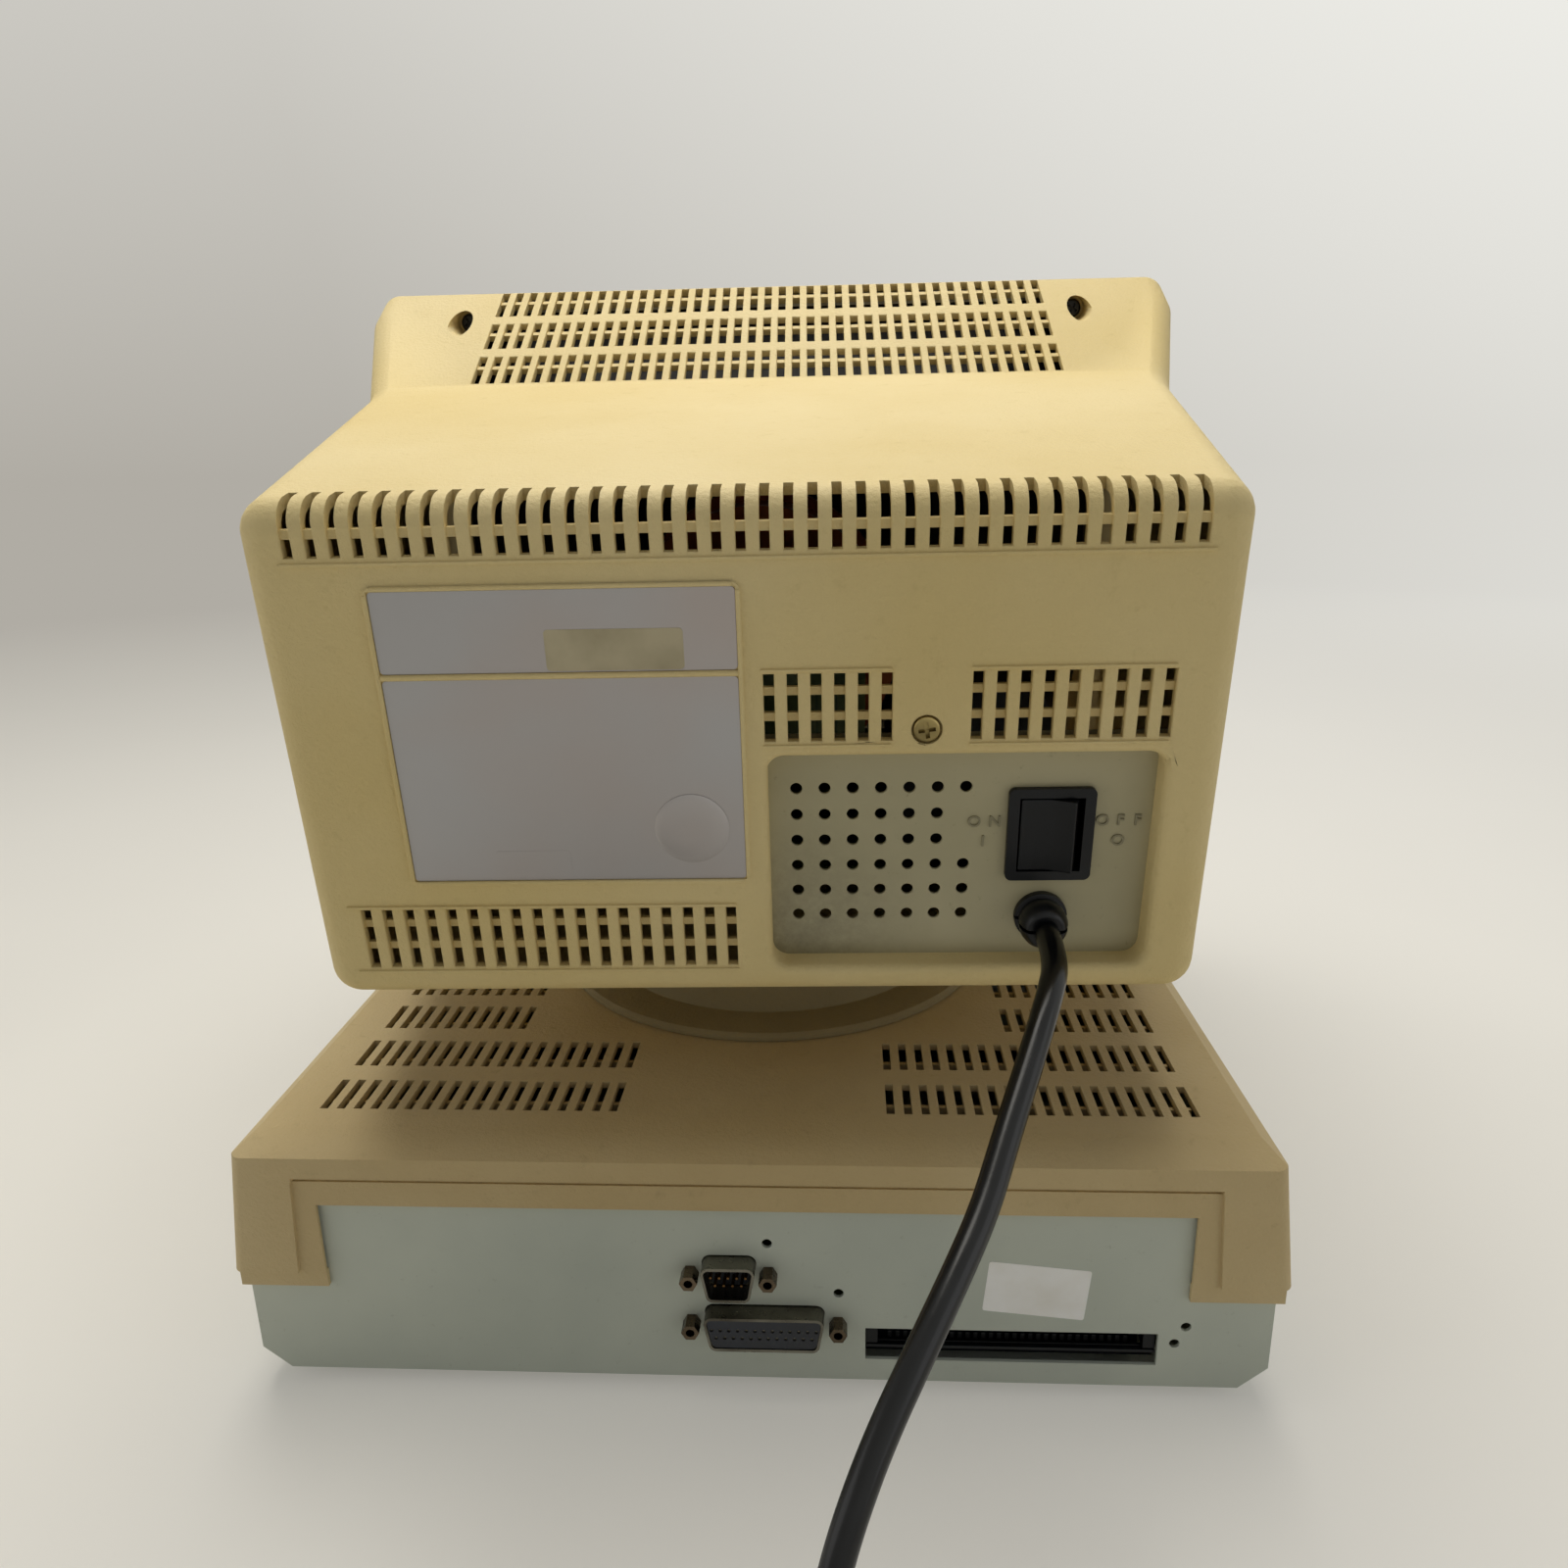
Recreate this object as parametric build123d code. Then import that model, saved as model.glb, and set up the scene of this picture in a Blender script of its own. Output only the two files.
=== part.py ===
from build123d import *
import math
import os

# A personal computer of the late 1980s: a low system unit with two disk drives, and on its deck a
# monitor that swivels and tilts. Millimetres, +Z up, the rear faces +Y. The origin is where the
# swivel axis meets the underside of the steel pan, and the feet stand a little lower.

# System unit, overall
base_depth = 306.0
foot_height = 4.0
foot_radius = 9.0
foot_inset_side = 30.0
foot_inset_end = 28.0
sheet = 1.2

# Steel pan and rear panel
pan_half_width = 163.8
pan_floor_half_width = 154.9
pan_chamfer_height = 7.9
pan_wall_height = 46.0
pan_pad_half_width = 112.0
pan_pad_half_depth = 104.0
pan_pad_step = 0.4
rear_panel_recess = 3.5
rear_panel_height = 68.0
rear_panel_neck_half_width = 150.0

# Moulded top cover
cover_wall = 2.5
cover_edge_height = 40.1
cover_edge_half_width = 167.6
cover_shoulder_height = 82.6
cover_shoulder_half_width = 162.4
deck_height = 87.2
deck_half_width = 156.5
rear_bevel_depth = 11.5
cover_corner_radius = 4.0
lip_drop = 6.1
lip_step = 1.7
lip_clearance = 0.2
cutout_half_width = 137.0
cutout_top = 65.0
recess_depth = 1.2
recess_margin_top = 6.5
recess_margin_side = 9.0
recess_height = 9.0

# Deck slots, in rows to each side of the stand
deck_slot_first = 44.8
deck_slot_pitch = 5.62
deck_slot_count = 18
deck_slot_short_count = 10
deck_slot_length = 17.6
deck_slot_width = 2.7
deck_row_pitch = 26.95
deck_row_count = 4
deck_full_row_count = 2
deck_row_last = 123.1

# Front moulding and disk drives
front_depth = 12.0
front_wall = 3.0
front_edge_lift = 0.5
front_chamfer = 3.0
drive_width = 101.6
drive_height = 25.4
drive_length = 146.0
drive_gap = 24.0
drive_centre_height = 58.0
drive_fit = 0.3
drive_face_proud = 1.2
slot_width = 94.0
slot_height = 6.4
slot_rise = 3.0
disk_bay_length = 96.0
flap_thickness = 1.2
flap_fit = 0.3
flap_setback = 1.0
button_width = 14.0
button_height = 6.5
button_proud = 1.6
button_fit = 0.3
button_drop = 8.0
button_offset = 36.0
button_length = 9.0
lamp_radius = 2.5
lamp_length = 7.0
lamp_height = 20.0
lamp_side = 140.0
keyboard_jack_radius = 7.5
keyboard_jack_flange = 10.0
keyboard_jack_depth = 14.0
keyboard_pin_radius = 1.0
keyboard_pin_circle = 4.2
keyboard_pin_count = 5
keyboard_jack_side = 132.0
keyboard_jack_fit = 0.1
bracket_leg = 12.0
board_thickness = 1.6
board_lift = 6.0
board_margin = 12.0
board_depth = 180.0
board_chip_height = 3.5
board_chip_width = 14.0
board_chip_length = 36.0
board_chip_pitch = 22.0
board_chip_count = 8
board_post_radius = 3.0
speaker_radius = 28.0
speaker_magnet_radius = 14.0
speaker_depth = 20.0
speaker_rim = 3.0
speaker_side = 118.0

# Ports in the rear panel
port_wall = 1.0
port_flange = 1.2
port_flange_margin = 4.6
port_shell_depth = 6.0
port_back_depth = 9.0
port_inset = 0.8
port_slope = 10.0
port_corner = 2.6
port_fit = 0.4
printer_port_x = -4.1
printer_port_z = 21.8
printer_shell_width = 39.0
printer_nut_spacing = 47.04
serial_port_x = 6.8
serial_port_z = 40.4
serial_shell_width = 17.8
serial_nut_spacing = 24.99
shell_height = 12.6
jack_nut_across = 5.0
jack_nut_length = 5.5
jack_nut_bore = 1.42
jack_stem_radius = 1.5
jack_stem_fit = 0.1
option_slot_x = -82.5
option_slot_z = 14.2
option_slot_width = 92.4
option_slot_height = 12.0
option_connector_width = 84.0
option_connector_height = 9.0
option_connector_depth = 12.0
option_connector_gap = 2.6
option_mouth_depth = 7.0
option_connector_setback = 6.0
panel_hole_radius = 1.65
panel_holes = ((-5.4, 51.6), (-27.8, 33.4), (-137.1, 23.1), (-133.9, 16.7))

# Stand: plinth disc, cup, neck and saddle
ball_radius = 100.0
ball_wall = 3.0
ball_rise = 5.7
ball_fit = 0.4
deck_fit = 0.3
plinth_radius = 87.0
plinth_thickness = 2.8
plinth_edge = 1.2
cup_radius = 64.0
cup_foot_radius = 70.0
neck_radius = 12.0
neck_bore = 8.0
neck_fit = 0.3
slot_fit = 0.8
slot_end_fit = 1.6
saddle_radius = 26.0
saddle_thickness = 3.0
clip_radius = 20.0
clip_thickness = 2.0
clip_fit = 0.3
spindle_reach = 5.0

# How the monitor sits in the photograph, in degrees
swivel_rest = 1.41
tilt_rest = -7.2
tilt_back_travel = 8.0
tilt_front_travel = 9.0

# Monitor rear housing, measured from its rear face and from the level of the picture centre line.
# Its own y is 0 at the rear face and falls towards the screen.
pivot_depth = 137.9
pivot_drop = 26.8
housing_wall = 3.0
rear_half_width = 134.0
flank_depth = 170.0
flank_width_share = 13 / 23
shoulder_depth = 250.0
shoulder_half_width = 180.0
rear_bottom = -78.5
rear_top = 75.0
rear_round = 8.5
crease_depth = 191.5
crease_height = 92.2
crown_depth = 264.7
crown_height = 128.0
belly_height = -88.7
chin_height = -123.0
housing_depth = 300.0
long_edge_round = 9.5

# Vents of the rear housing
comb_pitch = 6.35
comb_count = 39
comb_slot = 2.7
comb_sill = 60.3
comb_bar_bottom = 65.2
comb_bar_top = 67.7
comb_wrap_depth = 11.0
bar_setback = 1.2
bar_depth = 2.6
grille_slot_width = 3.3
grille_slot_length = 21.7
grille_row_pitch = 28.76
grille_row_count = 3
grille_row_first = 12.8
grille_bar_share = 2 / 3
grille_bar_width = 2.5
face_pitch = 6.55
face_slot = 3.1
face_left_start = -4.7
face_left_count = 6
face_right_start = -62.5
face_right_count = 9
face_low_start = 5.6
face_low_count = 18
face_top = 26.2
face_bottom = 6.3
face_low_top = -46.8
face_low_bottom = -67.0
face_bar = 2.4
face_bar_shares = (0.28, 0.66)
screw_well_x = 137.0
screw_well_depth = 239.5
screw_well_height = 115.8
screw_well_radius = 5.25
screw_well_reach = 20.0
screw_well_wall = 2.0
face_screw_x = -50.2
face_screw_z = 9.4
face_screw_radius = 4.3
face_screw_depth = 1.8
face_screw_boss = 6.5

# Label frame and power panel on the rear face
frame_left = 102.5
frame_right = 0.5
frame_top = 52.5
frame_bottom = -38.0
frame_divider = 27.0
frame_bead = 3.0
frame_proud = 0.8
power_left = -5.0
power_right = -118.0
power_top = 1.5
power_bottom = -68.0
power_recess = 8.0
power_corner = 5.0
power_sleeve = 2.5
power_plate_margin = 4.0
hole_first_x = -13.14
hole_first_z = -11.5
hole_pitch_x = 8.32
hole_pitch_z = 8.45
hole_radius = 1.6
hole_columns = 7
hole_rows = 6
hole_short_rows = (1, 2)
hole_sides = 12
switch_x = -88.25
switch_z = -26.8
switch_bezel_width = 25.5
switch_bezel_height = 30.0
switch_bezel_proud = 2.0
switch_body_width = 21.5
switch_body_height = 27.0
switch_body_depth = 24.0
switch_well_width = 19.0
switch_well_height = 24.0
switch_well_depth = 14.0
rocker_clearance = 0.4
rocker_swing = 10.0
rocker_pivot_depth = 4.0
rocker_pin_radius = 1.5
rocker_pin_fit = 0.05
rocker_skirt = 5.0
bushing_x = -87.2
bushing_z = -54.4
bushing_flange_radius = 8.0
bushing_flange = 2.2
bushing_barrel_radius = 6.0
bushing_tip_radius = 5.0
bushing_nose = 10.0
bushing_tail = 12.0
bushing_groove = 0.8
bushing_fit = 0.1

# Front bezel and picture tube
bezel_depth = 40.0
bezel_lap = 6.0
bezel_lap_fit = 0.3
bezel_wall = 3.0
bezel_face_round = 5.0
screen_side_border = 49.0
screen_edge_border = 27.5
screen_corner = 22.0
screen_lift = 8.0
screen_funnel = 16.0
tube_side_margin = 28.0
tube_edge_margin = 11.0
tube_corner = 34.0
tube_glass = 8.0
tube_neck_wall = 2.0
tube_face_setback = 12.0
tube_skirt = 36.0
tube_face_radius = 600.0
tube_throat_depth = 130.0
tube_throat_width = 84.0
tube_neck_radius = 14.5
tube_neck_end = 46.0
band_width = 20.0
band_thickness = 1.2
yoke_radius = 48.0
yoke_length = 42.0
yoke_rim = 4.0
yoke_fit = 0.5
neck_board_width = 70.0
neck_board_height = 60.0
neck_board_setback = 30.0
chassis_board_height = -66.0
chassis_board_front = 200.0
chassis_board_rear = 60.0
chassis_board_half_width = 118.0
transformer_width = 42.0
transformer_height = 48.0
transformer_x = 78.0
transformer_depth = 105.0
transformer_cup_radius = 9.0
transformer_cup_height = 16.0
supply_width = 62.0
supply_height = 40.0
supply_length = 80.0
supply_x = -78.0
supply_depth = 92.0
knob_radius = 9.0
knob_proud = 5.0
knob_shaft_radius = 3.0
knob_shaft_length = 10.0
knob_shaft_fit = 0.05
knob_gap = 0.4
knob_inset = 60.0
knob_pitch = 32.0
knob_rise = 15.0
knob_flute_count = 12
knob_flute_radius = 1.0
knob_flute_sides = 4

# Mains cord. The route runs from the bushing down to the desk behind the system unit.
cord_diameter = 7.5
cord_lead = 14.5
route = (
    (-86.6, 163.5, 145.0),
    (-79.2, 179.5, 134.2),
    (-71.0, 196.5, 123.1),
    (-63.9, 212.0, 112.5),
    (-55.3, 226.5, 104.4),
    (-46.0, 240.0, 94.5),
    (-37.7, 251.2, 84.7),
    (-31.4, 261.0, 75.0),
    (-27.3, 267.5, 65.2),
    (-22.5, 276.0, 48.5),
    (-15.5, 288.5, 31.5),
    (-6.0, 303.0, 15.5),
    (4.6, 319.6, 3.6),
    (16.4, 337.0, -0.25),
    (27.6, 353.6, -0.25),
)
bend_share = 0.45
coil_outer_radius = 51.0
coil_gap = 0.6
coil_turns_down = 3
coil_quarters_up = 11
coil_tail = 28.0
relief_length = 26.0
relief_root_radius = 6.5
plug_length = 34.0
plug_width = 27.0
plug_round = 4.0
blade_length = 17.5
blade_width = 6.35
blade_thickness = 1.5
blade_spacing = 12.7
earth_pin_radius = 2.4
earth_pin_length = 20.0
earth_pin_drop = 6.0

# Cutters run past what they cut by this much
overrun = 2.0
quarter_turn = 90.0

# Places that follow from the sizes above
rear_y = base_depth / 2
front_y = -base_depth / 2
cover_front_y = front_y + front_depth
panel_face_y = rear_y - rear_panel_recess
pan_rear_y = panel_face_y - sheet
pan_top_z = pan_wall_height
deck_underside = deck_height - cover_wall
drive_offset = (drive_width + drive_gap) / 2
stand_bottom = deck_height + deck_fit
pivot_height = stand_bottom + plinth_thickness + ball_rise + ball_radius
housing_front_y = -housing_depth
bezel_front_y = -housing_depth - bezel_depth
flank_half_width = rear_half_width + (shoulder_half_width - rear_half_width) * flank_width_share
bezel_half_width = shoulder_half_width
screen_z = (crown_height + chin_height) / 2 + screen_lift
screen_width = (shoulder_half_width - screen_side_border) * 2
screen_height = crown_height - chin_height - screen_edge_border * 2
tube_width = screen_width + tube_side_margin * 2
tube_height = screen_height + tube_edge_margin * 2
tilt_middle = tilt_rest + (tilt_front_travel - tilt_back_travel) / 2
monitor_place = (
    Pos(0, 0, pivot_height)
    * Rot(0, 0, swivel_rest)
    * Rot(tilt_rest, 0, 0)
    * Pos(0, pivot_depth, pivot_drop)
)


def block(x0, x1, y0, y1, z0, z1):
    """A box between two corners."""
    middle = Pos((x0 + x1) / 2, (y0 + y1) / 2, (z0 + z1) / 2)
    return middle * Box(abs(x1 - x0), abs(y1 - y0), abs(z1 - z0))


def rod_y(x, z, y0, y1, radius):
    """A round bar along Y."""
    return Pos(x, (y0 + y1) / 2, z) * Rot(quarter_turn, 0, 0) * Cylinder(radius, abs(y1 - y0))


def rod_z(x, y, z0, z1, radius):
    """A round bar along Z."""
    return Pos(x, y, (z0 + z1) / 2) * Cylinder(radius, z1 - z0)


def rounded_bar_y(x, z, width, height, corner, y0, y1):
    """A bar along Y whose section is a rectangle with round corners."""
    section = Plane.XZ.offset(-y0) * (Pos(x, z) * RectangleRounded(width, height, corner))
    return extrude(section, amount=y0 - y1)


def polygon_bar_y(x, z, radius, sides, y0, y1):
    """A bar along Y with a regular polygon for its section."""
    section = Plane.XZ.offset(-y0) * (Pos(x, z) * RegularPolygon(radius, sides))
    return extrude(section, amount=y0 - y1)


def along_y(points, y0, y1):
    """A section drawn in X and Z, carried from y0 to y1."""
    section = Plane.XZ.offset(-y0) * make_face(Polyline(*points, close=True))
    return extrude(section, amount=y0 - y1)


def along_x(section, x0, x1):
    """A section drawn in Y and Z, carried from x0 to x1."""
    return extrude(Plane.YZ.offset(x0) * section, amount=x1 - x0)


def along_z(section, z0, z1):
    """A section drawn in X and Y, carried from z0 to z1."""
    return extrude(Plane.XY.offset(z0) * section, amount=z1 - z0)


def one_solid(shape):
    """The single solid that a boolean left."""
    return shape.solids()[0]


def write(name, shape):
    """One STEP file for one sub-part."""
    shape.label = name
    export_step(shape, "parts/" + name + ".step")


# System unit

def pan_section(inset):
    """Half outline of the pan, mirrored, drawn in by the inset."""
    low = pan_floor_half_width - inset
    wide = pan_half_width - inset
    bottom = inset
    knee = pan_chamfer_height
    return low, wide, bottom, knee


def pan_bar(inset, y0, y1, top):
    """The pan's outer form, or its inside when it is drawn in."""
    low, wide, bottom, knee = pan_section(inset)
    points = ((-low, bottom), (low, bottom), (wide, knee), (wide, top), (-wide, top), (-wide, knee))
    return along_y(points, y0, y1)


def make_pan():
    """Folded steel tray, open at the top and at both ends, with a pad pressed down in its floor."""
    outer = pan_bar(0, cover_front_y, pan_rear_y, pan_top_z)
    inner = pan_bar(sheet, cover_front_y - overrun, pan_rear_y + overrun, pan_top_z + overrun)
    step = block(-pan_half_width, pan_half_width, cover_front_y - overrun, pan_rear_y + overrun, 0, pan_pad_step)
    pad = block(-pan_pad_half_width, pan_pad_half_width, -pan_pad_half_depth, pan_pad_half_depth,
                0, pan_pad_step)
    return one_solid(outer - inner - (step - pad))


def port_outline(width, grow):
    """The D shape of a port shell, wide side up."""
    half = width / 2 + grow
    tall = shell_height / 2 + grow
    slant = 2 * tall * math.tan(math.radians(port_slope))
    points = ((-half, tall), (half, tall), (half - slant, -tall), (slant - half, -tall))
    face = make_face(Polyline(*points, close=True))
    return fillet(face.vertices(), port_corner + grow)


def port_bar(x, z, width, grow, y0, y1):
    """A port shell's D shape carried along Y. Seen from the rear, +X lies to the left."""
    return extrude(Plane.XZ.offset(-y0) * (Pos(x, z) * port_outline(width, grow)), amount=y0 - y1)


def make_rear_panel():
    """Steel rear panel with the cut-outs for the ports and the option slot."""
    panel = pan_bar(0, pan_rear_y, panel_face_y, pan_top_z)
    neck = block(-rear_panel_neck_half_width, rear_panel_neck_half_width, pan_rear_y, panel_face_y,
                 pan_top_z - overrun, rear_panel_height)
    panel = panel + neck
    past = panel_face_y + overrun
    before = pan_rear_y - overrun
    cuts = [
        port_bar(printer_port_x, printer_port_z, printer_shell_width, port_fit, before, past),
        port_bar(serial_port_x, serial_port_z, serial_shell_width, port_fit, before, past),
        block(option_slot_x - option_slot_width / 2, option_slot_x + option_slot_width / 2, before, past,
              option_slot_z - option_slot_height / 2, option_slot_z + option_slot_height / 2),
    ]
    for x, z in panel_holes:
        cuts.append(rod_y(x, z, before, past, panel_hole_radius))
    for x, z in jack_nut_places():
        cuts.append(rod_y(x, z, before, past, jack_stem_radius + jack_stem_fit))
    return one_solid(panel - cuts)


def jack_nut_places():
    """Centres of the four jack nuts, two beside each port."""
    places = []
    for x, z, spacing in (
        (printer_port_x, printer_port_z, printer_nut_spacing),
        (serial_port_x, serial_port_z, serial_nut_spacing),
    ):
        places.append((x - spacing / 2, z))
        places.append((x + spacing / 2, z))
    return places


def make_port(x, z, width, spacing, recessed):
    """A D-shell port: flange behind the panel, shell through it, and its insert."""
    back = pan_rear_y - port_flange
    half = spacing / 2 + port_flange_margin
    tall = shell_height / 2
    flange = block(x - half, x + half, back, pan_rear_y, z - tall, z + tall)
    body = block(x - width / 2, x + width / 2, back - port_back_depth, back, z - tall, z + tall)
    shell = port_bar(x, z, width, 0, back, panel_face_y + port_shell_depth)
    well_floor = pan_rear_y if recessed else panel_face_y + port_shell_depth - port_inset
    well = port_bar(x, z, width, -port_wall, well_floor, panel_face_y + port_shell_depth + overrun)
    port = flange + body + shell - well
    for side in (-1, 1):
        hole = rod_y(x + side * spacing / 2, z, back - overrun, pan_rear_y + overrun,
                     jack_stem_radius + jack_stem_fit)
        port = port - hole
    return one_solid(port)


def make_jack_nut(x, z):
    """A hex jack nut whose stem passes through the panel and the port's flange."""
    hexagon = Pos(x, z) * RegularPolygon(jack_nut_across / 2, 6, major_radius=False)
    nut = extrude(Plane.XZ.offset(-panel_face_y) * hexagon, amount=-jack_nut_length)
    stem = rod_y(x, z, pan_rear_y - port_flange - port_back_depth / 2, panel_face_y, jack_stem_radius)
    bore = rod_y(x, z, panel_face_y, panel_face_y + jack_nut_length + overrun, jack_nut_bore)
    return one_solid(nut + stem - bore)


def make_option_connector():
    """Long edge connector behind the option slot, with one card mouth along it."""
    front = pan_rear_y - option_connector_setback
    half = option_connector_width / 2
    tall = option_connector_height / 2
    body = block(option_slot_x - half, option_slot_x + half, front - option_connector_depth, front,
                 option_slot_z - tall, option_slot_z + tall)
    mouth = block(option_slot_x - half + option_connector_gap, option_slot_x + half - option_connector_gap,
                  front - option_mouth_depth, front + overrun,
                  option_slot_z - option_connector_gap / 2, option_slot_z + option_connector_gap / 2)
    return one_solid(body - mouth)


def cover_section(inset, bottom):
    """Outline of the top cover across the unit, drawn in by the inset."""
    low = cover_edge_half_width - inset
    high = cover_shoulder_half_width - inset
    deck = deck_half_width - inset
    shoulder = cover_shoulder_height - inset
    top = deck_height - inset
    return ((-low, bottom), (low, bottom), (high, shoulder), (deck, top), (-deck, top), (-high, shoulder))


def cover_side_section(inset, bottom, front):
    """Outline of the top cover from front to rear, drawn in by the inset."""
    rear = rear_y - inset
    shoulder = cover_shoulder_height - inset
    top = deck_height - inset
    points = ((front, bottom), (rear, bottom), (rear, shoulder), (rear - rear_bevel_depth, top), (front, top))
    return make_face(Polyline(*points, close=True))


def cover_form(inset, bottom, front):
    """Solid form of the top cover, from the two outlines."""
    across = along_y(cover_section(inset, bottom), front, rear_y)
    half = cover_edge_half_width + overrun
    return across & along_x(cover_side_section(inset, bottom, front), -half, half)


def cover_lip():
    """The thin lip that laps over the pan below the cover's edge."""
    low = cover_edge_height - lip_drop
    half = cover_edge_half_width - lip_step
    inner = pan_half_width + lip_clearance
    inner_rear = panel_face_y + lip_clearance
    outer_bar = block(-half, half, cover_front_y, rear_y - lip_step, low, cover_edge_height)
    inner_bar = block(-inner, inner, cover_front_y - overrun, inner_rear, low - overrun,
                      cover_edge_height + overrun)
    return outer_bar - inner_bar


def deck_slots():
    """Cutters for the slots in the deck, in rows that leave room for the stand."""
    cutters = []
    for row in range(deck_row_count):
        y = deck_row_last - row * deck_row_pitch
        first = 0 if row < deck_full_row_count else deck_slot_count - deck_slot_short_count
        for column in range(first, deck_slot_count):
            x = deck_slot_first + column * deck_slot_pitch
            for side in (-1, 1):
                cutters.append(Pos(side * x, y, deck_height)
                               * Box(deck_slot_width, deck_slot_length, cover_wall * 2 + overrun))
    return cutters


def make_base_cover():
    """Moulded top cover: tapered walls, bevels, lip, rear cut-out with its frame, and deck slots."""
    outer = cover_form(0, cover_edge_height, cover_front_y)
    corners = outer.edges().filter_by(Axis.Y, reverse=True).filter_by(Axis.X, reverse=True)
    corners = corners.filter_by(lambda edge: edge.center().Y > rear_y - overrun / 2)
    outer = fillet(corners.filter_by(lambda edge: edge.length > cover_edge_height / 2), cover_corner_radius)
    inner = cover_form(cover_wall, cover_edge_height - overrun, cover_front_y - overrun)
    cover = outer - inner + cover_lip()
    top = cutout_top
    low = cover_edge_height - lip_drop - overrun
    opening = block(-cutout_half_width, cutout_half_width, panel_face_y, rear_y + overrun, low, top)
    wide = cutout_half_width + recess_margin_side
    narrow = cutout_half_width + recess_margin_top
    frame = along_y(((-wide, low), (wide, low), (narrow, top + recess_height), (-narrow, top + recess_height)),
                    rear_y - recess_depth, rear_y + overrun)
    spindle_hole = rod_z(0, 0, deck_underside - overrun, deck_height + overrun, neck_radius + neck_fit)
    return one_solid(cover - [opening, frame, spindle_hole] - deck_slots())


def front_section(inset):
    """Outline of the front moulding, drawn in by the inset."""
    low = pan_floor_half_width - inset
    knee_half = pan_half_width - inset
    edge = cover_edge_half_width - inset
    high = cover_shoulder_half_width - inset
    deck = deck_half_width - inset
    bottom = front_edge_lift + inset
    knee = pan_chamfer_height
    shoulder = cover_shoulder_height - inset
    top = deck_height - inset
    right = ((low, bottom), (knee_half, knee), (edge, cover_edge_height), (high, shoulder), (deck, top))
    left = tuple((-x, z) for x, z in reversed(right))
    return right + left


def make_base_front():
    """Front moulding with an aperture for each drive and holes for the lamp and keyboard jack."""
    outer = along_y(front_section(0), front_y, cover_front_y)
    outer = chamfer(outer.faces().sort_by(Axis.Y)[0].outer_wire().edges(), front_chamfer)
    inner = along_y(front_section(front_wall), front_y + front_wall, cover_front_y + overrun)
    front = outer - inner
    cuts = [
        rod_y(lamp_side, lamp_height, front_y - overrun, cover_front_y, lamp_radius),
        rod_y(-keyboard_jack_side, lamp_height, front_y - overrun, cover_front_y,
              keyboard_jack_radius + keyboard_jack_fit),
    ]
    half = drive_width / 2 + drive_fit
    tall = drive_height / 2 + drive_fit
    for side in (-1, 1):
        x = side * drive_offset
        cuts.append(block(x - half, x + half, front_y - overrun, cover_front_y,
                          drive_centre_height - tall, drive_centre_height + tall))
    return one_solid(front - cuts)


def slot_floor():
    """Level of the lower edge of a disk slot."""
    return drive_centre_height + slot_rise - slot_height / 2


def make_drive(x):
    """Disk drive behind the front moulding, with its disk bay open to the front."""
    half = drive_width / 2
    tall = drive_height / 2
    body = block(x - half, x + half, cover_front_y, cover_front_y + drive_length,
                 drive_centre_height - tall, drive_centre_height + tall)
    bay = block(x - slot_width / 2, x + slot_width / 2, cover_front_y - overrun,
                cover_front_y + disk_bay_length, slot_floor(), slot_floor() + slot_height)
    return one_solid(body - bay)


def button_x(x):
    """Place across the drive of its eject button, to the right when seen from the front."""
    return x + button_offset


def button_z():
    """Height of the eject buttons."""
    return drive_centre_height - button_drop


def make_drive_front(x):
    """Drive front with the disk slot, the button's well and a lamp window."""
    half = drive_width / 2
    tall = drive_height / 2
    face = front_y - drive_face_proud
    body = block(x - half, x + half, face, cover_front_y, drive_centre_height - tall,
                 drive_centre_height + tall)
    body = chamfer(body.faces().sort_by(Axis.Y)[0].outer_wire().edges(), drive_face_proud / 2)
    slot = block(x - slot_width / 2, x + slot_width / 2, face - overrun, cover_front_y + overrun,
                 slot_floor(), slot_floor() + slot_height)
    wide = button_width / 2 + button_fit
    high = button_height / 2 + button_fit
    well = block(button_x(x) - wide, button_x(x) + wide, face - overrun, cover_front_y + overrun,
                 button_z() - high, button_z() + high)
    window = block(button_x(x) - button_width / 2, button_x(x), face - overrun, face + flap_thickness / 2,
                   button_z() + high + button_fit * 2, button_z() + high + button_fit * 2 + flap_thickness)
    return one_solid(body - slot - well - window)


def flap_axis():
    """Hinge line of the disk flaps, as y and z."""
    y = front_y - drive_face_proud + flap_setback + flap_thickness / 2
    return y, slot_floor() + slot_height - flap_fit - flap_thickness / 2


def make_drive_flap(x):
    """Flap that closes the disk slot and swings inwards from its upper edge."""
    y, z = flap_axis()
    half = slot_width / 2 - flap_fit
    plate = block(x - half, x + half, y - flap_thickness / 2, y + flap_thickness / 2,
                  slot_floor() + flap_fit, z)
    barrel = Pos(x, y, z) * Rot(0, quarter_turn, 0) * Cylinder(flap_thickness / 2, half * 2)
    return one_solid(plate + barrel)


def make_eject_button(x):
    """Eject button, which slides into the drive front."""
    face = front_y - drive_face_proud - button_proud
    body = block(button_x(x) - button_width / 2, button_x(x) + button_width / 2, face, face + button_length,
                 button_z() - button_height / 2, button_z() + button_height / 2)
    return one_solid(fillet(body.faces().sort_by(Axis.Y)[0].edges(), button_fit * 2))


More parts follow.
